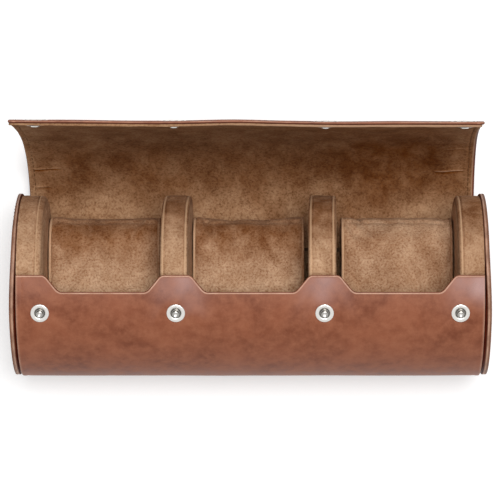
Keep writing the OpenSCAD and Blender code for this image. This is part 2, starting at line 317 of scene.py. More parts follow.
def fan(pole, ring, ahead):
    """Triangles from a pole to a ring, going round it one way or the other."""
    after = np.roll(ring, -1)
    return [(pole, a, b) for a, b in (zip(ring, after) if ahead else zip(after, ring))]


def turned_faces(count, size, start=0):
    """Faces of a profile swept all the way round, closed with a pole at each of its ends."""
    index = np.arange(count * size).reshape(count, size) + start
    after = np.roll(index, -1, axis=0)
    faces = quads(index[:, :-1], index[:, 1:], after[:, 1:], after[:, :-1])
    pole = start + count * size
    return faces + fan(pole, index[:, 0], True) + fan(pole + 1, index[:, -1], False)


def ring_faces(index):
    """Faces between closed rings that follow one another."""
    after = np.roll(index, -1, axis=1)
    return quads(index[:-1], after[:-1], after[1:], index[1:])


def tube_faces(count, size):
    """Faces of a solid through rings whose second half runs back under the first half."""
    index = np.arange(count * size).reshape(count, size)
    faces = ring_faces(index)
    half = size // 2
    for row, order in ((index[0], (1, 0, 3, 2)), (index[-1], (0, 1, 2, 3))):
        top, bottom = row[:half], row[half:][::-1]
        ladder = (top[:-1], top[1:], bottom[1:], bottom[:-1])
        faces += quads(*(ladder[corner] for corner in order))
    return faces


# Radius of the holes for the snaps in the flap's leather and lining
SNAP_HOLE = 3.1


def snap_holes(faces, points, along, count):
    """Cuts the holes for the snaps through a sheet, with a wall between its two sides round each."""
    size = len(points) // count
    place = np.column_stack([points[:, 0], along]).reshape(count, size, 2)
    half = size // 2
    middle = (place[:-1, : half - 1] + place[1:, 1:half]) / 2
    away = [np.hypot(middle[..., 0] - x, middle[..., 1] - snap_s) for x in SNAP_X]
    cut = np.min(away, axis=0) < SNAP_HOLE
    gone, walls = set(), []
    for row, column in np.argwhere(cut).tolist():
        gone |= {row * size + column, row * size + size - 2 - column}
        corners = [(row, column), (row, column + 1), (row + 1, column + 1), (row + 1, column)]
        beside = [(row - 1, column), (row, column + 1), (row + 1, column), (row, column - 1)]
        for (row_a, a), (row_b, b), next_cell in zip(corners, corners[1:] + corners[:1], beside):
            if not cut[next_cell]:
                wall = [(row_a, a), (row_b, b), (row_b, size - 1 - b), (row_a, size - 1 - a)]
                walls.append([corner_row * size + corner for corner_row, corner in wall])
    return [face for number, face in enumerate(faces) if number not in gone] + walls


def rounded_corner(radius, steps=ROUND_STEPS):
    """Ways in from two faces that meet at a corner, over its rounding."""
    turn = np.linspace(0, math.pi / 2, steps + 1)
    return radius * (1 - np.cos(turn)), radius * (1 - np.sin(turn))


def slab_ring(low, high, inner, out, deep, radius, round_low=True):
    """One ring round a sheet: places across it, and depths, with rounded free edges."""
    along, across = (part[:-1] for part in rounded_corner(radius))
    head, head_drop = (low + along, across) if round_low else (np.array([low]), np.array([0.0]))
    place = np.concatenate([head, inner, (high - along)[::-1]])
    drop = np.concatenate([head_drop, np.zeros(len(inner)), across[::-1]])
    return (
        np.concatenate([place, place[::-1]]),
        np.concatenate([out + drop, (deep - drop)[::-1]]),
    )


def spaced(low, high, step):
    return np.linspace(low, high, max(2, int(math.ceil((high - low) / step)) + 1))


# Distances from an edge at which the mesh has its lines, close together round the seam
NEAR_EDGE = np.array(
    [0.5, 0.8, 1.2, 1.7, 2.2, 2.6, 2.85, 3.05, 3.2, 3.35, 3.55, 3.8, 4.2, 4.8, 5.8, 7.5, 9.5]
)
# Steps of the flap's rows, and its rows round a crease and beside a joint
ROW_STEP = 1.15
NEAR_CREASE = np.array([-0.9, -0.6, -0.35, -0.15, 0, 0.15, 0.35, 0.6, 0.9])
NEAR_JOINT = np.array([0.0, 0.2])
# Creases across the lining: place along the flap, middle, half length, height
LINING_CREASES = [
    (48.7, -112.9, 9.5, 0.5),
    (47.1, 110.4, 9.5, 0.5),
    (35.5, -116.0, 4.5, 0.4),
    (72.0, 113.0, 5.5, 0.22),
    (68.3, 112.5, 6.5, 0.26),
]


def flap_rows(start, end, lip):
    """Places along the flap at which a piece of it has its rows."""
    rows = [spaced(start + 0.4, end - (10.5 if lip else 0.4), ROW_STEP), start + NEAR_JOINT]
    rows.append(end - (NEAR_EDGE if lip else NEAR_JOINT))
    rows += [crease[0] + NEAR_CREASE for crease in LINING_CREASES]
    rows = np.sort(np.concatenate(rows))
    rows = rows[(rows >= start - 1e-6) & (rows <= end + 1e-6)]
    return rows[np.append(True, np.diff(rows) > 1e-4)]


def lip_distance(x, s):
    """Distance from the nearest side edge or from the lip."""
    return np.minimum(WRAP_END - np.abs(x), lip_s - s)


def seam_pucker(x, s, width):
    """Small waves along the seam, one to each stitch."""
    along = np.where(WRAP_END - np.abs(x) < lip_s - s, s, x)
    return np.cos(2 * math.pi * along / STITCH_PITCH) * ridge(lip_distance(x, s), SEAM_INSET, width)


def lining_relief(x, s):
    """How far the suede of the flap stands proud: seam, puckers, creases and nap hollows."""
    inset = lip_distance(x, s)
    seam = -0.28 * ridge(inset, SEAM_INSET, 0.4) + 0.12 * ridge(inset, SEAM_INSET + 1.5, 0.9)
    fold, hollow = lining_creases(x, s)
    uneven = 0.1 * cloud(x, s, 26, 5) + 0.05 * cloud(x, s, 9, 6)
    return seam + 0.07 * seam_pucker(x, s, 1.3) + uneven + fold - 0.8 * hollow


def lining_creases(x, s):
    """Heights of the creases of the lining, and of the hollows under them."""
    fold, hollow = 0.0 * x, 0.0 * x
    for place, middle, half, height in LINING_CREASES:
        path = place + 0.3 * np.sin((x - middle) * 0.35) + 0.015 * (x - middle)
        fade = height * smooth(half - np.abs(x - middle), 0, 0.4 * half)
        fold = fold + fade * ridge(s, path, 0.5)
        hollow = hollow + fade * ridge(s, path - 1.3, 0.7)
    return fold, hollow


def lining_painted_shade(x, s):
    """Painted shade on the flap's lining: darkest halfway, lighter beside the edges."""
    wandering = s + 7 * cloud(x, s, 42, 13) + 3 * cloud(x, s, 14, 14)
    side = 0.68 + 0.32 * smooth(WRAP_END - np.abs(x) + 4 * cloud(x, s, 30, 15), 3, 28)
    right = np.maximum(x / WRAP_END, 0)
    lean = 1 + (0.25 + 0.25 * smooth(s, 50, 85)) * right - 0.1 * ridge(x, 0, 50)
    high = 1 - 0.2 * smooth(wandering, 60, 84) - 0.12 * smooth(s, lip_s - 14, lip_s - 2)
    return (0.05 + 0.77 * smooth(wandering, 12, 46)) * side * lean * high


def leather_relief(x, s):
    """How far the leather of the flap stands proud: seam, unevenness and hollows for the caps."""
    seam = -0.3 * ridge(lip_distance(x, s), SEAM_INSET, 0.4)
    relief = seam + 0.05 * seam_pucker(x, s, 1.2) + 0.06 * cloud(x, s, 40, 7)
    strayed = x + flap_skew(s) + flap_spread(x, s)
    for snap in SNAP_X:
        relief = relief - 0.5 * (1 - smooth(np.hypot(strayed - snap, s - snap_s), 6.0, 7.4))
    return relief


# How far to the left the lining was sewn on, and the rounding of the lip's corners
LINING_SLIP = -0.4
LIP_CORNER = 4.0


def flap_layer(name, material, piece, half_width, out, deep, radius, relief, outside):
    """One layer of one piece of the flap, a closed solid with rounded free edges."""
    start, end = piece_ends[piece], piece_ends[piece + 1]
    lip = piece == len(bend_zones) - 1
    rows = [(s, 0.0) for s in flap_rows(start, end, lip)]
    if lip:
        rows = [row for row in rows if row[0] < end - radius - 0.05]
        rows += [(end - a, drop) for a, drop in list(zip(*rounded_corner(radius)))[::-1]]
    steps = WRAP_END - half_width + NEAR_EDGE
    steps = steps[steps > radius + 0.02]
    half = np.concatenate([-half_width + steps, spaced(-WRAP_END + 11.0, 0, 1.9)[:-1]])
    inner = np.concatenate([half, [0.0], -half[::-1]])
    points, flows, edges, shades = [], [], [], []
    for s, drop in rows:
        short = max(0.0, LIP_CORNER - (end - s)) if lip else 0.0
        width = half_width - LIP_CORNER + math.sqrt(max(LIP_CORNER**2 - short**2, 0.0))
        x, depth = slab_ring(
            -width, width, inner * (width - radius) / (half_width - radius), out + drop, deep - drop,
            min(radius, (deep - out) / 2 - drop + 1e-3),
        )
        on_top = np.arange(len(x)) < len(x) // 2
        shown = on_top if outside else ~on_top
        place = np.full(len(x), s)
        lift = relief(x, place)
        depth = depth + np.where(shown, -lift if outside else lift, 0.0)
        inset = np.minimum(width - np.abs(x), end - s if lip else 1e9)
        layer = np.clip((depth - out) / (deep - out), 0, 1)
        near = np.clip(1 - inset / 1.3, 0, 1)
        if outside:
            # Dark edge paint at the outer face, a lighter ridge that is burnish and painted highlight, and
            # painted shade at the join with the lining
            dark = 0.9 * (1 - smooth(layer, 0.06, 0.22)) + 1.3 * smooth(layer, 0.55, 0.75)
            worn, shade = ridge(layer, 0.38, 0.2) - dark, 0 * x
        else:
            fold, hollow = lining_creases(x, place)
            worn = 0.4 + 0.6 * smooth(x, -60, 60) - 0.6 * smooth(layer, 0.25, 0.0)
            # Painted highlight on each crease ridge, and painted shade in the hollow under it
            near = near + 1.6 * fold * (1 - near)
            shade = lining_painted_shade(x, place) * (1 - 0.5 * near) + 1.1 * hollow
        edges.append(near * worn)
        shades.append(shade)
        points.append(flap_point(x if outside else x + LINING_SLIP, place, depth))
        flows.append(np.column_stack([x, place, depth]))
    points, flows = np.concatenate(points), np.concatenate(flows)
    faces = tube_faces(len(rows), len(points) // len(rows))
    if lip:
        faces = snap_holes(faces, points, flows[:, 1], len(rows))
    return make_piece(
        name, points, faces, material, flows, np.concatenate(edges), shade=np.concatenate(shades)
    )


def front_edge(x):
    """How far back the front panel reaches along the roll: tabs and cut-outs with soft corners."""
    floor = TAB_REACH - NOTCH_DEPTH
    left = [-WRAP_END + END_TAB_WIDTH, -DIVIDER_X + TAB_WIDTH / 2, DIVIDER_X + TAB_WIDTH / 2]
    right = [-DIVIDER_X - TAB_WIDTH / 2, DIVIDER_X - TAB_WIDTH / 2, WRAP_END - END_TAB_WIDTH]
    places, heights = [-WRAP_END], [TAB_REACH]
    for a, b in zip(left, right):
        places += [a, a + SLOPE_RUN, b - SLOPE_RUN, b]
        heights += [TAB_REACH, floor, floor, TAB_REACH]
    places, heights = places + [WRAP_END], heights + [TAB_REACH]
    rounded = [np.interp(x + away, places, heights) for away in CORNER_SPREAD]
    return np.mean(rounded, axis=0), places[:-1]


# Places over which a corner of the front panel is rounded
CORNER_SPREAD = [-1.5, -1.0, -0.5, 0.0, 0.5, 1.0, 1.5]
# Columns of the wrap beside a corner of the panel and beside a stud, and rows beside its front edge
NEAR_CORNER = np.arange(-2.0, 2.1, 0.25)
NEAR_STUD = np.arange(-9, 9.1, 1.0)
NEAR_FRONT = np.concatenate([[0.5, 0.7, 0.95, 1.3, 1.8, 2.5, 3.4], np.arange(4.6, 30, 1.15)])


def wrap_columns(half_width):
    """Places along the roll at which the wrap has its columns."""
    breaks = front_edge(0.0)[1][1:]
    columns = [spaced(-WRAP_END + 10.5, WRAP_END - 10.5, 2.4)]
    columns += [-half_width + NEAR_EDGE, half_width - NEAR_EDGE]
    columns += [place + NEAR_CORNER for place in breaks]
    slopes = [(a, b) for a, b in zip(breaks, breaks[1:]) if abs(b - a - SLOPE_RUN) < 0.01]
    columns += [spaced(a, b, 0.7) for a, b in slopes]
    columns += [x + NEAR_STUD for x in SNAP_X]
    kept = []
    for value in np.sort(np.concatenate(columns)):
        if not kept or value - kept[-1] > 0.1:
            kept.append(value)
    return [value for value in kept if abs(value) <= half_width - 0.5 + 1e-6]


def wrap_relief(x, s):
    """Relief of the wrap's leather: pressed lines by the discs, hollows round the studs."""
    inset = SKIN_HALF - np.abs(x)
    relief = -0.1 * ridge(inset, SEAM_INSET, 0.9) + 0.05 * ridge(inset, 1.4, 1.0)
    relief = relief + 0.06 * cloud(x, s, 38, 7)
    stud_s = math.radians(SNAP_POLAR - 360 - HINGE_POLAR) * hinge_mid
    for snap in SNAP_X:
        away = np.hypot(x - snap, s - stud_s)
        relief = relief - 0.34 * np.exp(-((away / 6.2) ** 2))
    return relief


def wrap_edge_wear_and_light(front, side):
    """Edges of the wrap, by the distances from them: a dark cut that is edge paint and painted shade, then
    a lighter line that is burnish and painted highlight, and a worn strip along the sides.
    """
    line = np.clip(1 - np.abs(front - 0.75) / 0.65, 0, 1)
    strip = 0.55 * np.clip(1 - (side - 0.3) / 2.2, 0, 1)
    return np.maximum(line, strip) - 1.6 * np.clip(1 - front / 0.3, 0, 1)


# Painted sheen on the tabs, where the lamp's gloss falls: places along the roll, and how strong it is there
TAB_PAINTED_SHEEN = [(-WRAP_END + 8, 0.06), (-DIVIDER_X + 2.5, 0.62), (DIVIDER_X - 1, 0.55), (WRAP_END - 5, 0.9)]


def wrap_painted_sheen(x, front):
    """How strong the painted sheen is at a distance from the front edge."""
    across = 0.0 * x
    for middle, strength in TAB_PAINTED_SHEEN:
        across = np.maximum(across, strength * ridge(x, middle, 10.0))
    patchy = 1 + 0.3 * cloud(x, front, 15, 17)
    fading = 1 - smooth(front + 2 * cloud(x, front, 11, 18), 6, 21)
    return across * patchy * fading * smooth(front, 0.6, 2)


def at_front(polar):
    """1 at the front of the roll and 0 at its back."""
    return between(np.mod(polar, 360), 62, 115, 215, 275)


def wrap_spread(x, polar):
    """At the front the ends of the wrap have spread towards the discs."""
    return at_front(polar) * (0.05 + 0.27 * x / WRAP_END) * smooth(np.abs(x), 0, WRAP_END)


def wrap_layer(name, material, half_width, out, deep, radius, set_back, relief=None, worn=1.0):
    """One layer of the rolled body, cut in front into tabs and cut-outs."""
    side = list(zip(*rounded_corner(radius)))
    columns = [(-half_width + a, drop) for a, drop in side]
    columns += [(x, 0.0) for x in wrap_columns(half_width) if abs(x) < half_width - radius - 0.05]
    columns += [(half_width - a, drop) for a, drop in side[::-1]]
    start_polar = HINGE_POLAR + math.degrees(FLAP_START / hinge_mid)
    points, flows, edges, painted_sheen = [], [], [], []
    for x, drop in columns:
        back = front_edge(x)[0] - set_back
        rise = (front_edge(x + 0.05)[0] - front_edge(x - 0.05)[0]) / 0.1
        lean = 1 / math.sqrt(1 + rise * rise)
        mid_r = ROLL_R - (out + deep) / 2
        end_polar = math.degrees(math.acos(back / mid_r)) - 360
        length = math.radians(start_polar - end_polar) * mid_r
        far = np.linspace(31.5, length - 0.5, 62)[1:]
        inner = np.concatenate([[0.2], length - far[::-1], length - NEAR_FRONT[::-1]])
        place, depth = slab_ring(0.0, length, inner, out + drop, deep - drop, radius, round_low=False)
        first = np.where(place > length - radius - 1e-6, (length - place) / lean, length - place)
        place = length - first
        on_top = np.arange(len(place)) < len(place) // 2
        polar = start_polar - np.degrees(place / mid_r)
        s = np.radians(polar - HINGE_POLAR) * hinge_mid
        here = np.full(len(place), x)
        if relief is not None:
            depth = depth - np.where(on_top, relief(here, s), 0.0)
        # The cut is vertical, so the edge of every layer lies in the same plane
        level = wrap_radius(polar, depth)
        section = direction(polar) * level[:, None]
        points.append(np.column_stack([here + wrap_spread(here, polar), section]))
        flows.append(np.column_stack([here, s, depth]))
        edges.append(worn * wrap_edge_wear_and_light((length - place) * lean, half_width - abs(x)))
        painted_sheen.append(wrap_painted_sheen(here, length - place))
    faces = tube_faces(len(columns), len(points[0]))
    # The wrap's shade layer carries its painted sheen
    return make_piece(
        name, np.concatenate(points), faces, material, np.concatenate(flows), np.concatenate(edges),
        shade=np.concatenate(painted_sheen) * worn,
    )


# Materials


def colour(red, green, blue):
    """A colour given as it looks on screen, 0 to 255, as the shader wants it."""
    parts = [part / 255 for part in (red, green, blue)]
    return tuple(p / 12.92 if p <= 0.04045 else ((p + 0.055) / 1.055) ** 2.4 for p in parts) + (1.0,)


class Nodes:
    """The nodes of a material or of the world."""

    def __init__(self, tree):
        self.tree = tree

    def add(self, kind, inputs=None, **settings):
        made = self.tree.nodes.new(kind)
        for key, value in settings.items():
            setattr(made, key, value)
        for key, value in (inputs or {}).items():
            self.plug(made.inputs[key], value)
        return made

    def plug(self, socket, value):
        if isinstance(value, bpy.types.NodeSocket):
            self.tree.links.new(value, socket)
        else:
            socket.default_value = value

    def remap(self, value, low, high, to_low=0.0, to_high=1.0):
        inputs = {"Value": value, "From Min": low, "From Max": high, "To Min": to_low, "To Max": to_high}
        return self.add("ShaderNodeMapRange", inputs, clamp=True).outputs[0]

    def maths(self, operation, a, b):
        return self.add("ShaderNodeMath", {0: a, 1: b}, operation=operation).outputs[0]

    def seen(self):
        """1 on rays from the camera, off metal and through glass, and 0 on scattered light."""
        path = self.add("ShaderNodeLightPath").outputs
        direct = self.maths("MAXIMUM", path["Is Camera Ray"], path["Is Glossy Ray"])
        return self.maths("MAXIMUM", direct, path["Is Transmission Ray"])


class Finish(Nodes):
    """A material being built from nodes."""

    def __init__(self, name):
        self.material = bpy.data.materials.new(name)
        self.material.use_nodes = True
        super().__init__(self.material.node_tree)
        self.tree.nodes.clear()
        self.shader = self.add("ShaderNodeBsdfPrincipled")
        self.add("ShaderNodeOutputMaterial", {"Surface": self.shader.outputs[0]})

    def layer(self, name):
        """The values that the mesh carries under this name."""
        return self.add("ShaderNodeAttribute", attribute_name=name).outputs["Fac"]

    def set(self, **values):
        for key, value in values.items():
            self.plug(self.shader.inputs[key.replace("_", " ")], value)

    def flow(self, stretch=(1, 1, 1)):
        """Where a point lies on its leather or suede, in millimetres."""
        place = self.add("ShaderNodeAttribute", attribute_name="flow").outputs["Vector"]
        return self.add("ShaderNodeMapping", {"Vector": place, "Scale": stretch}).outputs[0]

    def noise(self, vector, scale, detail, rough, distort=0.0):
        inputs = {"Vector": vector, "Scale": scale, "Detail": detail, "Roughness": rough}
        return self.add("ShaderNodeTexNoise", {**inputs, "Distortion": distort}).outputs["Fac"]

    def times(self, a, b):
        return self.maths("MULTIPLY", a, b)

    def mix(self, share, a, b, blend="MIX"):
        inputs = {0: share, 6: a, 7: b}
        return self.add("ShaderNodeMix", inputs, data_type="RGBA", blend_type=blend).outputs[2]

    def bump(self, height, distance, strength, under=None):
        inputs = {"Height": height, "Distance": distance * MM, "Strength": strength}
        if under is not None:
            inputs["Normal"] = under
        return self.add("ShaderNodeBump", inputs).outputs[0]


def leather_finish(name, dark, middle, light, burnish, hollow, depth):
    """Pull-up leather: clouds of lighter and darker colour, fine pores, burnished edges with painted
    highlights, a painted sheen, and dark edge paint with painted shade in joins and gaps.
    """
    f = Finish(name)
    flow = f.flow()
    clouds = f.remap(f.noise(flow, 0.045, 4, 0.6, 0.6), 0.34, 0.66)
    patches = f.remap(f.noise(flow, 0.16, 5, 0.65), 0.38, 0.68)
    grain = f.noise(flow, 1.6, 4, 0.6)
    tone = f.mix(clouds, dark, middle)
    tone = f.mix(f.times(patches, 0.62), tone, light)
    tone = f.mix(f.remap(grain, 0.3, 0.7, 0.0, 0.16), tone, dark)
    edge = f.layer("edge")
    worn = f.remap(f.maths("ADD", edge, f.remap(grain, 0.2, 0.8, -0.12, 0.12)), 0.3, 0.85)
    rubbed = f.remap(f.noise(flow, 0.11, 3, 0.6), 0.35, 0.62, 0.45, 0.95)
    tone = f.mix(f.times(worn, rubbed), tone, burnish)
    # Painted sheen: the shade layer lightens the tone towards a grey-pink gloss
    tone = f.mix(f.times(f.layer("shade"), f.remap(grain, 0.25, 0.75, 0.55, 0.75)), tone, PAINTED_SHEEN)
    # Edge values below 0 darken: dark edge paint, and painted shade in joins and in the gap beside the
    # discs
    tone = f.mix(f.remap(edge, -0.15, -0.9, 0.0, depth), tone, f.mix(1.0, tone, hollow, "MULTIPLY"))
    cells = f.add(
        "ShaderNodeTexVoronoi", {"Vector": flow, "Scale": 1.25, "Randomness": 1.0}, feature="F1"
    ).outputs["Distance"]
    pores = f.remap(cells, 0.0, 0.6)
    coarse = f.bump(f.noise(flow, 0.5, 3, 0.5), 0.10, 0.5)
    skin = f.bump(f.maths("ADD", pores, f.times(grain, 0.8)), 0.035, 0.7, coarse)
    rough = f.remap(patches, 0.0, 1.0, 0.46, 0.56)
    f.set(Base_Color=tone, Roughness=rough, Normal=skin, Specular_IOR_Level=0.2)
    return f.material


# The colour that painted shade multiplies into suede
PAINTED_SHADE_TONE = colour(178, 147, 118)


def suede_finish(name, dark, middle, light, edge_light, patch=0.035, speckle=0.5, shaded_by=PAINTED_SHADE_TONE):
    """Suede: brushed nap in lighter and darker patches, with a speckled pile, painted shade from the shade
    layer, and lighter edges.
    """
    f = Finish(name)
    flow = f.flow()
    brushed = f.flow((1.0, 0.75, 1.0))
    patches = f.remap(f.noise(brushed, patch, 5, 0.62, 0.9), 0.36, 0.64)
    blots = f.remap(f.noise(brushed, patch * 3.4, 4, 0.6, 0.5), 0.38, 0.66)
    strokes = f.remap(f.noise(brushed, 0.34, 3, 0.6, 0.3), 0.34, 0.66)
    pile = f.noise(flow, 0.85, 2.5, 0.75)
    fine = f.noise(flow, 2.2, 2, 0.6)
    tone = f.mix(patches, dark, middle)
    tone = f.mix(f.times(blots, 0.4), tone, light)
    tone = f.mix(f.times(strokes, 0.3), tone, dark)
    grains = f.remap(pile, 0.4, 0.66)
    pits = f.remap(pile, 0.48, 0.3)
    tone = f.mix(f.times(grains, speckle), tone, f.mix(0.6, tone, light, "SCREEN"))
    tone = f.mix(f.times(pits, speckle), tone, f.mix(0.9, tone, dark, "MULTIPLY"))
    # Painted shade: the shade layer multiplies the tone towards a darker colour
    shaded = f.times(f.layer("shade"), f.remap(blots, 0.0, 1.0, 1.0, 0.75))
    tone = f.mix(shaded, tone, f.mix(1.0, tone, shaded_by, "MULTIPLY"))
    # The edge layer lightens: worn edges, and painted highlights on crease ridges and on the left cushion
    # cords
    tone = f.mix(f.times(f.remap(f.layer("edge"), 0.3, 0.9), 0.75), tone, edge_light)
    skin = f.bump(fine, 0.08, 0.8, f.bump(pile, 0.3, 0.8))
    f.set(
        Base_Color=tone, Roughness=0.95, Normal=skin, Specular_IOR_Level=0.06,
        Sheen_Weight=0.08, Sheen_Roughness=0.5, Sheen_Tint=light,
    )
    return f.material


def metal_finish(name, tone, rough):
    """Plated metal with fine scratches and a slight unevenness."""
    f = Finish(name)
    place = f.add("ShaderNodeTexCoord").outputs["Object"]
    spots = f.noise(place, 900.0, 3, 0.6)
    long_place = f.add("ShaderNodeMapping", {"Vector": place, "Scale": (1.0, 9.0, 1.0)}).outputs[0]
    scratches = f.noise(long_place, 1500.0, 2, 0.5)
    plain = f.mix(f.remap(spots, 0.3, 0.7, 0.0, 0.2), tone, colour(168, 164, 158))
    # The shade layer darkens the plate: painted shade in grooves and on dulled rims
    f.set(
        Base_Color=f.mix(f.layer("shade"), plain, colour(106, 102, 96)),
        Metallic=1.0,
        Roughness=f.remap(f.maths("ADD", spots, scratches), 0.6, 1.4, rough, rough + 0.12),
        Normal=f.bump(scratches, 0.004, 0.5),
    )
    return f.material


def thread_finish(name, tone):
    """Twisted thread, darker between its strands."""
    f = Finish(name)
    flow = f.flow()
    twist = f.add(
        "ShaderNodeTexWave", {"Vector": flow, "Scale": 1.6, "Distortion": 1.0, "Detail": 2.0},
        bands_direction="DIAGONAL",
    ).outputs["Fac"]
    shade = tuple(part * 0.55 for part in tone[:3]) + (1.0,)
    f.set(
        Base_Color=f.mix(f.remap(twist, 0.2, 0.8), shade, tone), Roughness=0.8,
        Normal=f.bump(twist, 0.06, 0.8), Specular_IOR_Level=0.1,
    )
    return f.material


def board_finish(name):
    """Grey-brown fibre board, seen only as a thin line at the cut edges."""
    f = Finish(name)
    place = f.add("ShaderNodeTexCoord").outputs["Object"]
    fibres = f.noise(place, 1400.0, 4, 0.7)
    tone = f.mix(f.remap(fibres, 0.3, 0.7), colour(92, 66, 44), colour(128, 98, 70))
    f.set(Base_Color=tone, Roughness=0.9, Normal=f.bump(fibres, 0.05, 0.6))
    return f.material


def floor_finish(name):
    """A white floor that keeps the soft shadow and shows white to the camera and to metal."""
    f = Finish(name)
    f.set(Base_Color=(FLOOR_TONE, FLOOR_TONE, FLOOR_TONE, 1.0), Roughness=0.9, Specular_IOR_Level=0.0)
    f.set(Emission_Color=WHITE, Emission_Strength=f.times(f.seen(), FLOOR_LIFT))
    return f.material


WHITE = (1.0, 1.0, 1.0, 1.0)
# Whiteness of the floor as light, and the strength that lifts it to white outside the case's shadow
FLOOR_TONE = 0.8
FLOOR_LIFT = 0.37

# Stitches

# Gap between two stitches, and rings of a stitch and points round it
STITCH_GAP = 0.75
BEAD_RINGS = 6
BEAD_SIDES = 8


def bead_template():
    """One stitch lying along its first axis: points and faces."""
    half = (STITCH_PITCH - STITCH_GAP) / 2
    share = np.linspace(-0.93, 0.93, BEAD_RINGS)[:, None]
    turn = np.linspace(0, 2 * math.pi, BEAD_SIDES, endpoint=False)
    size = THREAD_D / 2 * np.sqrt(1 - np.abs(share) ** 3)
    lift = 0.12 * (1 - share * share)
    rings = [half * share + 0 * turn, size * np.cos(turn), size * np.sin(turn) + lift]
    points = np.stack(rings, axis=-1).reshape(-1, 3)
    index = np.arange(len(points)).reshape(BEAD_RINGS, BEAD_SIDES)
    faces = ring_faces(index) + fan(index.size, index[0], False) + fan(index.size + 1, index[-1], True)
    return np.concatenate([points, [(-half, 0, 0), (half, 0, 0)]]), faces


def stitches(name, material, centres, along, out):
    """Stitches at these centres, each lying along one heading and standing out along another."""
    template, template_faces = bead_template()
    side = np.cross(out, along)
    points = (
        centres[:, None, :]
        + template[None, :, 0, None] * along[:, None, :]
        + template[None, :, 1, None] * side[:, None, :]
        + template[None, :, 2, None] * out[:, None, :]
    ).reshape(-1, 3)
    faces = []
    for number in range(len(centres)):
        shift = number * len(template)
        faces += [tuple(corner + shift for corner in face) for face in template_faces]
    flow = np.tile(template, (len(centres), 1))
    return make_piece(name, points, faces, material, flow, sharp=80)


# Where the flap's seam starts, and how deep stitches lie on the flap's outside and elsewhere
SEAM_START = 4.0
OUTSIDE_SINK = 0.34
STITCH_SINK = 0.3


def seam_places(low, high):
    """Seam of the flap between two rows: places of the stitches, and whether each runs across."""
    last = lip_s - SEAM_INSET
    rows = np.arange(SEAM_START, last - STITCH_PITCH / 2, STITCH_PITCH)
    side_x = WRAP_END - SEAM_INSET
    sides = [(sign * side_x, s, False) for sign in (-1, 1) for s in rows]
    across = [(x, last, True) for x in np.arange(-side_x + STITCH_PITCH / 2, side_x - 1, STITCH_PITCH)]
    return [place for place in sides + across if low <= place[1] < high]


def flap_stitches(piece, material):
    """Stitches of one piece of the flap, on the leather and on the lining."""
    x, s, runs_across = np.array(seam_places(piece_ends[piece], piece_ends[piece + 1])).T
    headings = flap_edge(s)[1]
    inward = np.column_stack([0 * s, -headings[:, 1], headings[:, 0]])
    along = np.where(runs_across[:, None] > 0, [1.0, 0.0, 0.0], np.column_stack([0 * s, headings]))
    sides = [flap_point(x, s, 0 * s + depth) for depth in (OUTSIDE_SINK, FLAP_THICK - STITCH_SINK)]
    return stitches(
        f"flap_stitches_{piece + 1}", material, np.concatenate(sides),
        np.concatenate([along, along]), np.concatenate([-inward, inward]),
    )


# Turned and padded pieces


# How far in from the rim a profile keeps its distances, and where its faces begin
RIM_BAND = 10.0
FACE_INSET = 2.0
SIDE_NAMES = {-1: "left", 1: "right"}


def unshaded(angle, inset, x):
    """Nap that lies alike all over."""
    return 0 * x


def spin_piece(name, material, profile, rim, relief, edge_of, count, shift, shade_of=unshaded):
    """A piece swept round the roll's axis. The profile gives insets from the rim and places along X."""
    inset, along = np.array(profile).T
    theta = np.linspace(-180, 180, count, endpoint=False)
    reach = rim(theta)[:, None]
    far_share = np.clip((inset - RIM_BAND) / (INNER_R - RIM_BAND), 0, 1)
    radius = np.where(inset <= RIM_BAND, reach - inset, (reach - RIM_BAND) * (1 - far_share))
    x = np.tile(along, (count, 1))
    insets = np.tile(inset, (count, 1))
    angle = np.repeat(theta[:, None], len(profile), axis=1)
    out_dir = np.sign(x - (along.max() + along.min()) / 2)
    edge = np.append(edge_of(angle, insets, x), [0.0, 0.0])
    lift_r, lift_x = relief(angle, insets, x)
    radius = radius + lift_r
    x = x + lift_x * out_dir + shift(theta)[:, None] * smooth(radius, 10, 40)
    shade = np.append(shade_of(angle, insets, x), [0.0, 0.0])
    section = direction(angle) * radius[..., None]
    places = np.concatenate([x[..., None], section], axis=-1)
    on_rim = np.stack([x, np.radians(angle) * INNER_R, insets], axis=-1)
    on_face = np.concatenate([section, x[..., None]], axis=-1)
    flow = np.where(insets[..., None] > FACE_INSET, on_face, on_rim)
    ends = x[:, [0, -1]].mean(axis=0)
    return make_piece(
        name, np.concatenate([places.reshape(-1, 3), np.outer(ends, [1, 0, 0])]),
        turned_faces(count, len(profile)), material,
        np.concatenate([flow.reshape(-1, 3), np.outer(ends, [0, 0, 1])]), edge, shade=shade,
    )


def disc_flare(side, theta):
    """How far a disc stands off the roll's end: it has come away a little at the front."""
    return 0.1 + (1.05 if side < 0 else 1.35) * at_front(theta)


def disc_rim(theta):
    """Radius of a disc, with its foot on the ground."""
    return np.minimum(DISC_R, AXIS_Z / downward(theta))


# Insets at which a disc's face has its lines, from near its middle to near its rim
DISC_ROWS = [40.0, 30.0, 20.0, 12.0, 9.0, 7.0, 5.5, 4.6, 4.1, 3.8]
DISC_ROWS += [3.5, 3.35, 3.2, 3.05, 2.9, 2.6, 2.2, 1.5, 1.0]
# The groove between a disc's two layers: insets of its lines, and how far they lie from the middle
DISC_GROOVE = [(0.0, -0.3), (0.1, -0.14), (0.28, 0.0), (0.1, 0.14), (0.0, 0.3)]
DISC_ROUND = 0.45
# Points round a disc, and stitches round its face
DISC_TURN = 288
DISC_STITCHES = 84


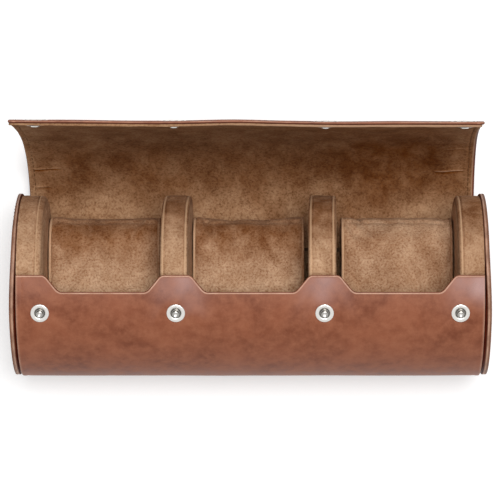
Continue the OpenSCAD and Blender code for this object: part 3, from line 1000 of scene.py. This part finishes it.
def end_disc(side, material):
    """A disc of two layers of leather, with a burnished edge and a sewn line round its face."""
    corner = list(zip(*rounded_corner(DISC_ROUND)))
    half = DISC_THICK / 2
    profile = [(inset, 0.0) for inset in DISC_ROWS] + corner[::-1]
    profile += [(inset, half + away) for inset, away in DISC_GROOVE]
    profile += [(inset, DISC_THICK - depth) for inset, depth in corner]
    profile += [(inset, DISC_THICK) for inset in DISC_ROWS[::-1]]
    profile = [(inset, side * (DISC_FACE + depth)) for inset, depth in profile]

    def relief(angle, inset, x):
        arc = np.radians(angle)
        sink = 0.28 * ridge(inset, SEAM_INSET, 0.4)
        pucker = 0.05 * np.cos(arc * DISC_STITCHES) * ridge(inset, SEAM_INSET, 1.2)
        soft = 0.05 * cloud(arc * 30, inset, 30, 21 + side)
        thinner = 0.5 * (side < 0) * between(angle, -35, -10, 30, 60)
        outer_face = pucker + soft - sink - 0.08 - thinner
        held = (disc_flare(side, angle) - 0.4) * smooth(inset, 1.1, 1.6)
        lift = np.where(np.abs(x) > DISC_FACE + half, outer_face, np.maximum(held, 0))
        return 0.03 * cloud(arc * 50, x, 17, 3), lift

    def edge_of(angle, inset, x):
        depth = np.abs(x) - DISC_FACE
        worn = ridge(depth, 1.1, 0.65) * np.clip(1 - inset / 1.1, 0, 1)
        # Painted shade in the gap between the disc and the wrap, where the edge layer goes below 0
        return worn - (1 - smooth(depth, 0.05, 0.35)) * (1 - smooth(inset, 20, 30))

    name = SIDE_NAMES[side]
    piece = spin_piece(
        f"end_disc_leather_{name}", material, profile, disc_rim, relief, edge_of, DISC_TURN,
        lambda theta: side * disc_flare(side, theta),
    )
    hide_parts(f"end_disc_{name}")
    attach(piece, "roll")


def disc_stitches(side, material):
    """The sewn line round a disc's face."""
    theta = np.arange(DISC_STITCHES) * 360 / DISC_STITCHES
    radius = disc_rim(theta) - SEAM_INSET
    face = side * (DISC_FACE + DISC_THICK - STITCH_SINK + disc_flare(side, theta))
    centres = np.column_stack([face, direction(theta) * radius[:, None]])
    along = np.column_stack([0 * theta, direction(theta + 90)])
    out = np.tile([float(side), 0.0, 0.0], (len(theta), 1))
    piece = stitches(f"end_disc_stitches_{SIDE_NAMES[side]}", material, centres, along, out)
    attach(piece, "roll")


# Pads and dividers: top and seams of the rim, a crease along it, and how far it leans
RIM_TOP = 48.6
RIM_SEAM = 2.2
RIM_CREASE = 17.5
RIM_LEAN = -1.2
# Room that the rims keep under the closed flap and in the lining, and their radius beside the hinge
RIM_UNDER_FLAP = 0.7
RIM_IN_LINING = 0.1
RIM_BY_HINGE = 46.3


def filler_rim(theta):
    """Rim of a pad or divider: proud of the roll at the open side, and inside the lining elsewhere."""
    closed = flap_outer - FLAP_THICK + flap_shift * np.cos(np.radians(theta - SNAP_POLAR))
    # Room for the creases of the closed flap's lining
    creased = 0.4 * between(theta, -36, -30, -7, -1) + 0.3 * between(theta, 3, 9, 16, 24)
    proud = np.minimum(RIM_TOP, closed - RIM_UNDER_FLAP) - creased
    within = INNER_R - RIM_IN_LINING
    held = np.minimum(within, (AXIS_Z - ROLL_R + within) / downward(theta))
    by_hinge = between(theta, -80, -76, -56, -50)
    held = held * (1 - by_hinge) + np.minimum(held, RIM_BY_HINGE) * by_hinge
    tab_polar = math.degrees(math.acos(TAB_REACH / ROLL_R))
    opened = between(theta, -64, -56, tab_polar - 2.0, tab_polar + 0.8)
    return held * (1 - opened) + proud * opened


def filler_relief(seams, folds, seed):
    """Relief of the suede of a pad or divider: seam lines, puckers along them, creases and folds."""

    def relief(angle, inset, x):
        arc = np.radians(angle) * INNER_R
        rim = 1 - smooth(inset, 0.8, 2.5)
        lift = 0.14 * cloud(arc, x * 2, 24, seed)
        for seam in seams:
            path = seam + 0.18 * cloud(arc, 0, 26, seed + 5)
            pucker = 0.12 + 0.06 * cloud(arc, 0, 8, seed + 1)
            beside = ridge(x, path - 0.9, 0.6) + ridge(x, path + 0.9, 0.6)
            lift = lift - 0.5 * ridge(x, path, 0.3) + pucker * beside
        slant = (x - x.mean()) * 0.2
        crease = ridge(arc, RIM_CREASE + slant, 0.7) + 0.6 * ridge(arc, RIM_CREASE - 4.5 - slant, 1.1)
        lift = lift - 0.45 * crease * smooth(x.ptp() / 2 - np.abs(x - x.mean()), 0.0, 3.0)
        face = 0.17 * cloud(arc, inset, 30, seed + 2) * smooth(inset, 4, 14)
        for fold, height in folds:
            path = fold + 0.8 * cloud(arc, 0, 60, seed + 3)
            face = face + height * (ridge(inset, path, 1.1) - 0.8 * ridge(inset, path + 1.9, 0.9))
        return lift * rim, face

    return relief


def filler_edge(seams, strip):
    """Shows the worn strip outside each seam, given with the way that it looks."""

    def edge_of(angle, inset, x):
        outside = np.zeros_like(x)
        for seam, way in seams:
            past = way * (x - seam)
            outside = np.maximum(outside, between(past, 0.2, 0.6, strip, strip + 0.5))
        return outside * (1 - smooth(inset, 0.7, 1.6)) * 0.8

    return edge_of


def filler_painted_shade(back, low, high, front=0.0):
    """Painted shade on a pad or divider: more at the back of the case than in front, with an even share
    where front is given.
    """

    def shade_of(angle, inset, x):
        shade = front + back * (1 - smooth(angle, low, high))
        shade = shade + 0.1 * cloud(np.radians(angle) * INNER_R, x, 14, 61)
        return np.clip(shade, 0, 1) * (1 - smooth(inset, 2, 6))

    return shade_of


def filler_lean(theta):
    """The rims at the open side lean a little to the left."""
    return RIM_LEAN * smooth(np.sin(np.radians(theta)), -0.2, 0.8)


# Points round a pad or divider, insets at which its faces have their lines, and steps of its rim
FILLER_TURN = 320
FILLER_ROWS = [42.0, 36.0, 30.0, 24.0, 18.0, 15.0, 12.5, 10.6, 9.2, 8.0, 7.0, 6.1, 5.3, 4.6, 4.0]
FILLER_STEPS = 7
RIM_STEP = 0.3


def filler_profile(low, high, round_low, round_high):
    """Profile from the middle of one face over the rim to the middle of the other face."""
    start, end = (list(zip(*rounded_corner(radius, FILLER_STEPS))) for radius in (round_low, round_high))
    profile = [(inset, low) for inset in FILLER_ROWS if inset > round_low + 0.3]
    profile += [(inset, low + in_x) for in_x, inset in start]
    first, last = low + round_low + 0.01 + RIM_STEP, high - round_high - 0.01 - RIM_STEP
    profile += [(0.0, x) for x in spaced(first, last, RIM_STEP)]
    profile += [(inset, high - in_x) for in_x, inset in end[::-1]]
    return profile + [(inset, high) for inset in FILLER_ROWS[::-1] if inset > round_high + 0.3]


def divider(side, material):
    """A divider between two bays."""
    low, high = side * DIVIDER_X - DIVIDER_THICK / 2, side * DIVIDER_X + DIVIDER_THICK / 2
    seams = [low + RIM_SEAM, high - RIM_SEAM]
    name = SIDE_NAMES[side]
    painted_shade_plan = (0.85, 33, 70) if side < 0 else (0.85, 36, 72, 0.12)
    piece = spin_piece(
        f"divider_suede_{name}", material, filler_profile(low, high, 1.5, 1.5), filler_rim,
        filler_relief(seams, [], 31 + side), filler_edge([(seams[0], -1), (seams[1], 1)], 1.3),
        FILLER_TURN, filler_lean, filler_painted_shade(*painted_shade_plan),
    )
    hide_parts(f"divider_cover_{name}", f"divider_core_{name}")
    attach(piece, "roll")


def end_pad(side, material):
    """An end pad. The left one has a sagging shoulder, with folds in its suede."""
    inner = side * (WRAP_END - PAD_THICK)
    low, high = sorted([inner, side * (DISC_FACE - 0.02)])
    name = SIDE_NAMES[side]
    if side < 0:
        rounds, seam, strip, folds, painted_shade_plan = (0.35, 2.8), 3.6, 0.7, [(4.6, 0.4), (8.6, 0.45)], (0.6, 24, 66)
    else:
        rounds, seam, strip, folds, painted_shade_plan = (1.8, 0.35), 2.4, 1.2, [(5.5, 0.3)], (0.45, 40, 56, 0.4)
    seam_x = inner + side * seam
    piece = spin_piece(
        f"end_pad_suede_{name}", material, filler_profile(low, high, *rounds), filler_rim,
        filler_relief([seam_x], folds, 41 + side), filler_edge([(seam_x, -side)], strip),
        FILLER_TURN, lambda theta: 0 * theta, filler_painted_shade(*painted_shade_plan),
    )
    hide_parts(f"end_pad_cover_{name}", f"end_pad_core_{name}")
    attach(piece, "roll")


# Cushions

CUSHION_NAMES = ["left", "middle", "right"]
# Where each cushion has settled in its bay
CUSHION_SHIFT = [-1.2, -1.3, 1.0]
# How far a cushion's faces bow, how far its ends stand out, and how square it is
CUSHION_BOW = 1.6
CUSHION_EAR = 0.6
CUSHION_POWER = 3.2
CUSHION_HALF = CUSHION_WIDTH / 2 - 0.6
# Points round a ring of a cover, rings of its band, and sizes of the rings on its end panels
CUSHION_SIDES = 132
CUSHION_BAND = 43
PANEL_SIZES = [0.12, 0.3, 0.48, 0.64, 0.78, 0.88, 0.94, 0.975]
SEWN_RINGS = [len(PANEL_SIZES), len(PANEL_SIZES) + CUSHION_BAND - 1]
# Radius of the cord, points round it, and length of suede along it from one point to the next
PIPING_R = 0.75
PIPING_SIDES = 8
PIPING_STEP = 1.6
# Stitches that close a cushion below: reach to each side of its middle, and how deep they lie
CLOSING_REACH = 16.5
CLOSING_SINK = 0.75


def cushion_middle_z():
    """Height of a cushion's middle over the roll's axis, seated on the lining as in the part."""
    share = 0.5 ** (1 / 3)
    seat = INNER_R - 0.3
    half_y, half_z = CUSHION_HEIGHT / 2 * share, CUSHION_THICK / 2 * share
    return half_z - math.sqrt(seat**2 - half_y**2)


def signed_power(value, power):
    return np.sign(value) * np.abs(value) ** power


def cushion_ring(x, size, bay):
    """One ring of a cushion: a rounded rectangle, drawn in along its edges and crowned on its faces."""
    turn = np.linspace(0, 2 * math.pi, CUSHION_SIDES, endpoint=False)
    share = np.clip(x / CUSHION_HALF, -1, 1)
    fade = 1 - share**2
    half_y = CUSHION_HEIGHT / 2 - 0.3 + CUSHION_EAR * share**6
    half_z = CUSHION_THICK / 2 - CUSHION_BOW * (1 - fade) - 0.3
    y = half_y * size * signed_power(np.cos(turn), 2 / CUSHION_POWER)
    z = half_z * size * signed_power(np.sin(turn), 2 / CUSHION_POWER)
    far_edge = smooth(y, 28, 35) * smooth(z, -12, 4)
    wander = 0.2 * cloud(np.full(len(y), x), 0 * y, 17, 71 + bay)
    return y + far_edge * wander * size, z


def cushion_rings():
    """Rings of a cushion from its left end panel over the band to its right end panel."""
    rings = [(-CUSHION_HALF - 0.5 * (1 - size**2), size) for size in PANEL_SIZES]
    rings += [(share * CUSHION_HALF, 1.0) for share in np.linspace(-1, 1, CUSHION_BAND)]
    rings += [(CUSHION_HALF + 0.5 * (1 - size**2), size) for size in PANEL_SIZES[::-1]]
    return rings


def cushion_places(bay):
    """The cover before it swells, ring by ring, and where each point lies on its suede."""
    middle = np.array([(bay - 1) * BAY_PITCH + CUSHION_SHIFT[bay], 0.0, cushion_middle_z()])
    places, flows = [], []
    for x, size in cushion_rings():
        y, z = cushion_ring(x, size, bay)
        step = np.hypot(np.diff(y, append=y[0]), np.diff(z, append=z[0]))
        arc = np.concatenate([[0.0], np.cumsum(step)[:-1]])
        places.append(middle + np.column_stack([np.full(len(y), x), y, z]))
        across = np.full(len(y), x + 200 * bay)
        flows.append(np.column_stack([across, y, z] if size < 1 else [across, arc, np.full(len(y), 40)]))
    ends = middle + np.array([[places[0][0, 0] - middle[0], 0, 0], [places[-1][0, 0] - middle[0], 0, 0]])
    end_flows = [[flows[0][0, 0], 0, 0], [flows[-1][0, 0], 0, 0]]
    return np.concatenate(places + [ends]), np.concatenate(flows + [end_flows]), middle


def cushion_faces():
    """Faces of a cover, and the numbers of its points ring by ring."""
    count = 2 * len(PANEL_SIZES) + CUSHION_BAND
    index = np.arange(count * CUSHION_SIDES).reshape(count, CUSHION_SIDES)
    faces = ring_faces(index) + fan(index.size, index[0], False) + fan(index.size + 1, index[-1], True)
    return faces, index


def read_points(mesh, what="co"):
    """Places or normals of a mesh's points."""
    values = np.empty(len(mesh.vertices) * 3)
    mesh.vertices.foreach_get(what, values)
    return values.reshape(-1, 3)


def swollen(covers, middles, faces, index):
    """The covers after they have swollen as cloth between their sewn rings, in millimetres."""
    scene = bpy.context.scene
    held = np.concatenate([index[SEWN_RINGS], index[:3], index[-3:]]).ravel().tolist()
    held += [index.size, index.size + 1]
    cloths = []
    for bay, (points, middle) in enumerate(zip(covers, middles)):
        mesh = bpy.data.meshes.new(f"cloth_{bay}")
        mesh.from_pydata(((points - middle) * CLOTH_SCALE).tolist(), [], faces)
        cloth = bpy.data.objects.new(f"cloth_{bay}", mesh)
        cloth.location = (bay * 3.0, 0, 0)
        scene.collection.objects.link(cloth)
        cloth.vertex_groups.new(name="held").add(held, 1.0, "REPLACE")
        settings = cloth.modifiers.new("Cloth", "CLOTH").settings
        settings.quality = 5
        settings.mass = 0.3
        settings.tension_stiffness = 14
        settings.compression_stiffness = 14
        settings.shear_stiffness = 5
        settings.bending_stiffness = 0.35
        settings.use_pressure = True
        settings.uniform_pressure_force = CLOTH_PRESSURE[bay]
        settings.shrink_min = CLOTH_GROWTH[bay]
        settings.vertex_group_mass = "held"
        settings.effector_weights.gravity = 0
        cloths.append(cloth)
    for frame_number in range(1, CLOTH_FRAMES + 1):
        scene.frame_set(frame_number)
    shapes = bpy.context.evaluated_depsgraph_get()
    swelled = []
    for cloth, points, middle in zip(cloths, covers, middles):
        moved = read_points(cloth.evaluated_get(shapes).data) / CLOTH_SCALE + middle - points
        far = np.linalg.norm(moved, axis=1)[:, None] + 1e-9
        swelled.append(points + moved * np.tanh(far / CLOTH_CAP) * CLOTH_CAP / far)
        mesh = cloth.data
        bpy.data.objects.remove(cloth)
        bpy.data.meshes.remove(mesh)
    scene.frame_set(1)
    return swelled


# The covers swell at ten times their size, where the cloth's settings hold
CLOTH_SCALE = 0.01
CLOTH_FRAMES = 22
CLOTH_PRESSURE = [3.5, 3.0, 4.5]
CLOTH_GROWTH = [-0.05, -0.06, -0.03]
# How far in millimetres a cover may swell at most
CLOTH_CAP = 1.7


def cushion_detail(piece, points, middle, bay):
    """Presses the crease beside the far edge, soft folds and the closing seam into a cover."""
    normals = read_points(piece.data, "normal")
    x, y, z = (points - middle).T
    path = 33.6 + 0.32 * cloud(x, 0 * x, 15, 71 + bay) + 0.4 * (x / CUSHION_HALF) ** 4
    over = smooth(z, 2, 9) * smooth(CUSHION_HALF - np.abs(x), 0, 3)
    lift = over * (0.35 * ridge(y, path + 1.3, 0.8) - 0.5 * ridge(y, path, 0.55))
    for fold_x, fold_y, length, height in CUSHION_FOLDS[bay]:
        along = smooth(length - np.abs(y - fold_y), 0, length * 0.7) * smooth(z, 0, 8)
        bent = fold_x + 0.03 * (y - fold_y) ** 2 / length
        lift = lift + height * along * (ridge(x, bent, 0.9) - 0.8 * ridge(x, bent + 1.5, 0.8))
    lift = lift + (0.25 * cloud(x, y, 21, 81 + bay) + 0.1 * cloud(x, y, 8, 91 + bay)) * over
    lift = lift - 0.8 * ridge(y, 0, 0.7) * smooth(18.5 - np.abs(x), 0, 1.5) * smooth(-z, 5, 15)
    points = points + normals * lift[:, None]
    # The cover stays clear of the lining under it and of its neighbours
    room = CUSHION_HALF + 0.7
    points[:, 0] = np.clip(points[:, 0], middle[0] - room, middle[0] + room)
    return within_roll(points, 0.3)


def within_roll(points, clearance):
    """The points, drawn in where they would touch the lining of the roll."""
    reach = np.maximum(np.hypot(points[..., 1], points[..., 2]), 1e-6)
    points[..., 1:] *= np.minimum(1.0, (INNER_R - clearance) / reach)[..., None]
    return points


# Soft folds on each cushion's face: place across and along, half length, height
CUSHION_FOLDS = [
    [(24.5, 16.0, 13.0, 0.3)],
    [(25.5, 14.0, 12.0, 0.3), (-24.0, 20.0, 9.0, 0.2)],
    [(-26.0, 14.0, 18.0, 0.5), (26.5, 12.0, 18.0, 0.45)],
]


def cushion_painted_shade(x, y, bay):
    """Painted shade on a cushion: darker towards the back; on the right one an even darkening, partly its
    own more orange tone, that fades towards the back.
    """
    patchy = 0.14 * cloud(x, y, 17, 51 + bay) * smooth(y, -10, 10)
    if bay == 2:
        return 0.4 * (1 - smooth(y, 22, 33)) + patchy
    return np.clip(y / 25 - 0.04 + patchy, 0, 1) * (1 - 0.35 * smooth(y, 31, 34.5))


def piping(ring, middle_x, way):
    """A covered cord sewn round one end of a cushion: points, and where each lies on its suede."""
    heading = np.roll(ring, -1, axis=0) - np.roll(ring, 1, axis=0)
    heading = heading / np.linalg.norm(heading, axis=1)[:, None]
    out = np.cross(heading, [1.0, 0.0, 0.0])
    out = out * np.sign((out * (ring - ring.mean(axis=0))).sum(axis=1))[:, None]
    turn = np.linspace(0, 2 * math.pi, PIPING_SIDES, endpoint=False)[None, :, None]
    arc = np.arange(len(ring))[:, None, None] * PIPING_STEP
    swell = PIPING_R * (1 + 0.08 * cloud(arc, 0, 12, 101 + int(middle_x)))
    centre = ring + out * 0.15 + [way * 0.25, 0, 0]
    round_cord = np.cos(turn) * out[:, None, :] + np.sin(turn) * np.array([1.0, 0, 0])
    points = within_roll(centre[:, None, :] + swell * round_cord, 0.25)
    flow = np.concatenate(np.broadcast_arrays(middle_x, arc, turn), axis=-1)
    return points.reshape(-1, 3), flow.reshape(-1, 3)


def cushion_piping(name, material, rings, middle_x):
    """The cords round both ends of a cushion, as one piece."""
    points, flows = zip(*(piping(ring, middle_x, way) for ring, way in zip(rings, (-1, 1))))
    count = len(points[0])
    index = np.arange(count).reshape(-1, PIPING_SIDES)
    index = np.vstack([index, index[:1]])
    # Painted light on the cords: the left cord lighter as a painted highlight, the right one darker as
    # painted shade
    edging = make_piece(
        f"cushion_piping_{name}", np.concatenate(points), ring_faces(index) + ring_faces(index + count),
        material, np.concatenate(flows), np.repeat([0.8, 0.2], count), 75, np.repeat([0.0, 0.6], count),
    )
    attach(edging, f"cushion_{name}")


def cushion_closing(name, material, points, middle_x):
    """The stitches that close a cushion's cover below."""
    places = np.arange(-CLOSING_REACH, CLOSING_REACH + 0.1, STITCH_PITCH)
    low = points[np.abs(points[:, 1]) < 3, 2].min()
    centres = np.column_stack([middle_x + places, 0 * places, 0 * places + low + CLOSING_SINK])
    across = np.tile([0.0, 1.0, 0.0], (len(places), 1))
    down = np.tile([0.0, 0.0, -1.0], (len(places), 1))
    closing = stitches(f"cushion_seam_stitches_{name}", material, centres, across, down)
    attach(closing, f"cushion_{name}")


def cushions(material, thread_material):
    """Three cushions: a cover that has swollen, its piping, and stitches along the closing seam."""
    faces, index = cushion_faces()
    covers, flows, middles = zip(*(cushion_places(bay) for bay in range(3)))
    covers = swollen(covers, middles, faces, index)
    for bay, name in enumerate(CUSHION_NAMES):
        points, middle = covers[bay], middles[bay]
        shade = cushion_painted_shade(points[:, 0], points[:, 1], bay)
        piece = make_piece(
            f"cushion_suede_{name}", points, faces, material, flows[bay], 0 * shade, 75, shade
        )
        points = cushion_detail(piece, points, middle, bay)
        piece.data.vertices.foreach_set("co", ((points + [0, 0, AXIS_Z]) * MM).ravel())
        piece.data.update()
        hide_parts(f"cushion_cover_{name}", f"cushion_core_{name}")
        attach(piece, f"cushion_{name}")
        cushion_piping(name, material, points[index[SEWN_RINGS]], middle[0])
        cushion_closing(name, thread_material, points, middle[0])


# Snaps


def lathe_set(name, material, profile, places, headings, segments, painted_shade_share):
    """The same turned part at several places, each standing out along its heading."""
    radius, height = np.array(profile).T
    turn = np.linspace(0, 2 * math.pi, segments, endpoint=False)[:, None, None]
    side = np.array([1.0, 0.0, 0.0])
    points, faces = [], []
    for number, (place, heading) in enumerate(zip(places, headings)):
        out = np.array([0.0, *heading])
        axis = np.array(place) + height[:, None] * out
        ring = axis + radius[:, None] * (np.cos(turn) * side + np.sin(turn) * np.cross(out, side))
        points += [ring.reshape(-1, 3), axis[[0, -1]]]
        faces += turned_faces(segments, len(profile), number * (segments * len(profile) + 2))
    # How far the shade layer darkens each point: painted shade
    shade = np.append(np.tile([painted_shade_share(*point) for point in profile], segments), [0.0, 0.0])
    return make_piece(
        name, np.concatenate(points), faces, material, sharp=40, shade=np.tile(shade, len(places))
    )


def snap_studs(material):
    """Studs: a flange with a rolled rim, a sunk ring, and a post with a dimple on top."""
    profile = [
        (0.4, -0.5), (4.7, -0.5), (4.95, -0.2), (4.95, 0.15), (4.88, 0.35), (4.7, 0.5), (4.4, 0.58),
        (4.0, 0.6), (3.6, 0.58), (3.2, 0.54), (2.9, 0.48), (2.72, 0.36), (2.6, 0.2), (2.3, 0.1),
        (2.0, 0.1), (1.8, 0.2), (1.6, 0.5), (1.5, 1.1), (1.5, 1.7), (1.55, 2.1), (1.72, 2.35), (1.8, 2.55),
        (1.74, 2.74), (1.55, 2.86), (1.3, 2.9), (1.0, 2.84), (0.7, 2.66), (0.4, 2.5), (0.15, 2.45),
    ]
    heading = direction(SNAP_POLAR)
    places = [(x, *(heading * ROLL_R)) for x in SNAP_X]

    # Painted shade in the sunk ring and in the post's dimple
    def painted_shade_share(radius, height):
        if height < 1.6:
            return 0.85 * (1.4 < radius < 2.7)
        return 0.6 * (0.8 < radius < 1.9)

    piece = lathe_set("snap_studs_metal", material, profile, places, [heading] * 4, 56, painted_shade_share)
    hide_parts("snap_studs")
    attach(piece, "roll")


def flap_snap_frame(radius):
    """Places and headings of the snaps in the flap at rest, at that closed distance from the axis."""
    heading = direction(SNAP_POLAR)
    place, turned_heading = (part[0] for part in at_rest(np.array([heading * radius]), heading[None], 4))
    drawn = flap_wave(np.array(SNAP_X), np.full(4, snap_s))
    return [(x, *(place - turned_heading * d)) for x, d in zip(SNAP_X, drawn)], [turned_heading] * 4


def snap_sockets(material):
    """Sockets under the lip: a rounded ring round a cup that takes the post."""
    ring = 0.95
    cup = 3.3
    profile = [
        (0.2, cup - 0.35), (1.8, cup - 0.35), (1.95, cup - 0.55), (1.95, 0.6), (1.98, 0.32), (2.05, 0.12),
        (2.18, 0.08), (2.3, 0.18), (2.38, 0.4), (2.6, 0.66), (3.0, 0.7), (4.2, 0.7), (4.42, 0.76),
        (4.5, 0.86), (4.5, ring), (3.0, ring + 0.05), (3.0, cup - 0.1), (0.2, cup - 0.1),
    ]
    places, headings = flap_snap_frame(ROLL_R + SNAP_GAP - ring)
    # Painted shade on the flange and outer ring, so that only the hub gives a glint
    piece = lathe_set(
        "snap_sockets_metal", material, profile, places, headings, 56,
        lambda radius, height: 0.75 * (radius > 2.5),
    )
    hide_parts("snap_sockets")
    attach(piece, "flap_tip")


def snap_caps(material):
    """Caps on the outside of the flap: low domes with a rolled rim."""
    profile = [
        (0.3, -0.7), (5.6, -0.7), (6.05, -0.6), (6.25, -0.4), (6.25, -0.15), (6.12, 0.03), (5.9, 0.1),
        (5.62, 0.07), (5.45, -0.03), (5.32, -0.14), (5.08, -0.14), (4.95, -0.03), (4.75, 0.08), (4.2, 0.19),
        (3.5, 0.28), (2.7, 0.35), (1.8, 0.4), (0.9, 0.43), (0.3, 0.44),
    ]
    places, headings = flap_snap_frame(ROLL_R + SNAP_GAP + FLAP_THICK)
    # Painted shade in the groove of the rim, and a slight darkening elsewhere
    piece = lathe_set(
        "snap_caps_metal", material, profile, places, headings, 72,
        lambda radius, height: 0.75 if 4.9 < radius < 5.5 else 0.15,
    )
    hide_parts("snap_caps")
    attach(piece, "flap_tip")


# Stage


def place_in_scene(name, data, place):
    made = bpy.data.objects.new(name, data)
    made.location = place
    bpy.context.scene.collection.objects.link(made)
    return made


def stage():
    """Floor, soft light from above and the camera straight over the case, as in the photograph."""
    mesh = bpy.data.meshes.new("floor")
    corners = [(x * FLOOR_HALF, y * FLOOR_HALF, 0) for x, y in ((-1, -1), (1, -1), (1, 1), (-1, 1))]
    mesh.from_pydata(corners, [], [(0, 1, 2, 3)])
    mesh.materials.append(floor_finish("floor_white"))
    place_in_scene("floor", mesh, (0, 0, 0))

    world = bpy.data.worlds.new("studio")
    bpy.context.scene.world = world
    world.use_nodes = True
    sky = Nodes(world.node_tree)
    background = sky.tree.nodes["Background"]
    sky.plug(background.inputs["Color"], WHITE)
    sky.plug(background.inputs["Strength"], sky.remap(sky.seen(), 0.0, 1.0, WORLD_LIGHT, 1.0))

    light = bpy.data.lights.new("overhead", "AREA")
    light.shape = "DISK"
    light.size = LAMP_SIZE
    light.energy = LAMP_POWER
    lamp = place_in_scene("overhead", light, LAMP_PLACE)
    lamp.rotation_mode = "QUATERNION"
    towards = Vector((0, 0.01, AXIS_Z * MM)) - Vector(LAMP_PLACE)
    lamp.rotation_quaternion = towards.to_track_quat("-Z", "Y")

    view = bpy.data.cameras.new("camera")
    view.sensor_width = SENSOR
    view.lens = SENSOR * ROLL_PIXELS * CAMERA_RADII / PHOTO_SIDE
    distance = CAMERA_RADII * ROLL_R * MM
    side = CAMERA_SIDE * MM
    view.shift_y = (AXIS_ROW - PHOTO_SIDE / 2) / PHOTO_SIDE
    view.shift_x = -(AXIS_COLUMN - PHOTO_SIDE / 2) / PHOTO_SIDE - side * view.lens / distance / SENSOR
    camera = place_in_scene("camera", view, (side, 0, AXIS_Z * MM + distance))
    bpy.context.scene.camera = camera
    bpy.context.scene.view_settings.view_transform = "Standard"


# The photograph is square, and these are places in it, in pixels
PHOTO_SIDE = 500
AXIS_ROW = 284.0
AXIS_COLUMN = 250.9
ROLL_PIXELS = 91.5
# Distance of the camera over the roll's axis, in roll radii, and its place along the roll in millimetres
CAMERA_RADII = 31.0
CAMERA_SIDE = 12.0
SENSOR = 36.0
# Light of the world, the lamp, and half the floor's width, in metres and watts
WORLD_LIGHT = 0.32
LAMP_PLACE = (0.24, 0.28, 2.6)
LAMP_SIZE = 1.3
LAMP_POWER = 54.0
FLOOR_HALF = 1.3

# Colours, each set from dark over middle to light, and then its worn edges

COGNAC = [colour(118, 64, 42), colour(146, 86, 60), colour(166, 106, 78), colour(210, 168, 144)]
DISC_BROWN = [colour(92, 54, 38), colour(126, 82, 60), colour(150, 106, 80), colour(208, 168, 144)]
# Painted shade in the gap between a disc and the wrap
GAP_SHADE = colour(172, 88, 34)
# Painted sheen where the lamp's gloss falls on the tabs
PAINTED_SHEEN = colour(194, 158, 152)
LINING_SUEDE = [colour(134, 93, 61), colour(172, 130, 95), colour(204, 164, 128), colour(178, 142, 116)]
PAD_SUEDE = [colour(150, 108, 76), colour(190, 148, 114), colour(222, 184, 150), colour(212, 174, 138)]
CUSHION_SUEDE = [colour(159, 115, 82), colour(200, 157, 122), colour(232, 194, 160), colour(212, 174, 138)]
# Painted shade on the flap's lining multiplies the suede towards this colour
FLAP_SHADE_TONE = colour(168, 124, 66)
THREAD = colour(118, 80, 50)

leather = leather_finish("cognac_leather", *COGNAC, COGNAC[0], 0.75)
disc_leather = leather_finish("disc_leather", *DISC_BROWN, GAP_SHADE, 1.0)
suede = suede_finish("lining_suede", *LINING_SUEDE)
flap_suede = suede_finish("flap_suede", *LINING_SUEDE, patch=0.03, shaded_by=FLAP_SHADE_TONE)
pad_suede = suede_finish("pad_suede", *PAD_SUEDE, patch=0.06, speckle=0.4)
cushion_suede = suede_finish("cushion_suede", *CUSHION_SUEDE, patch=0.045, speckle=0.55)
nickel = metal_finish("nickel_plate", colour(224, 221, 216), 0.2)
brass = metal_finish("rivet_brass", colour(196, 160, 92), 0.3)
thread = thread_finish("seam_thread", THREAD)
board = board_finish("fibre_board")

stage()

# The roll

wrap = wrap_layer("wrap_leather", leather, SKIN_HALF, 0.0, LEATHER, 0.5, 0.0, wrap_relief)
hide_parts("outer_wrap")
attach(wrap, "roll")

lining = wrap_layer("roll_lining", suede, WRAP_END, LEATHER + BOARD, ROLL_R - INNER_R, 0.3, 0.25, worn=0.0)
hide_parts("body_lining")
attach(lining, "roll")

for side in (-1, 1):
    end_disc(side, disc_leather)
    disc_stitches(side, thread)
    end_pad(side, pad_suede)
    divider(side, pad_suede)

for node_name, finish, slot_name in (
    ("wrap_board", board, "board"),
    ("snap_stud_rivets", brass, "rivet_brass"),
):
    node = frame["nodes"][node_name]
    node.data.materials.clear()
    node.data.materials.append(finish)

snap_studs(nickel)
snap_sockets(nickel)
snap_caps(nickel)
cushions(cushion_suede, thread)

# The flap

for piece, (body_a, body_b) in enumerate(zip(flap_bodies, flap_bodies[1:])):
    outer = flap_layer(
        f"flap_leather_skin_{piece + 1}", leather, piece, SKIN_HALF, 0.0, LEATHER - 0.02, 0.5,
        leather_relief, True,
    )
    inner = flap_layer(
        f"flap_suede_{piece + 1}", flap_suede, piece, LINING_HALF, LEATHER + 0.02, FLAP_THICK, 0.45,
        lining_relief, False,
    )
    sewn = flap_stitches(piece, thread)
    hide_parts(f"flap_leather_{piece + 1}")
    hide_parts(f"flap_lining_{piece + 1}")
    zone = np.array(bend_zones[piece])
    ends = flap_point(np.zeros(2), zone, np.full(2, FLAP_THICK / 2))
    for shown in (outer, inner, sewn):
        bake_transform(shown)
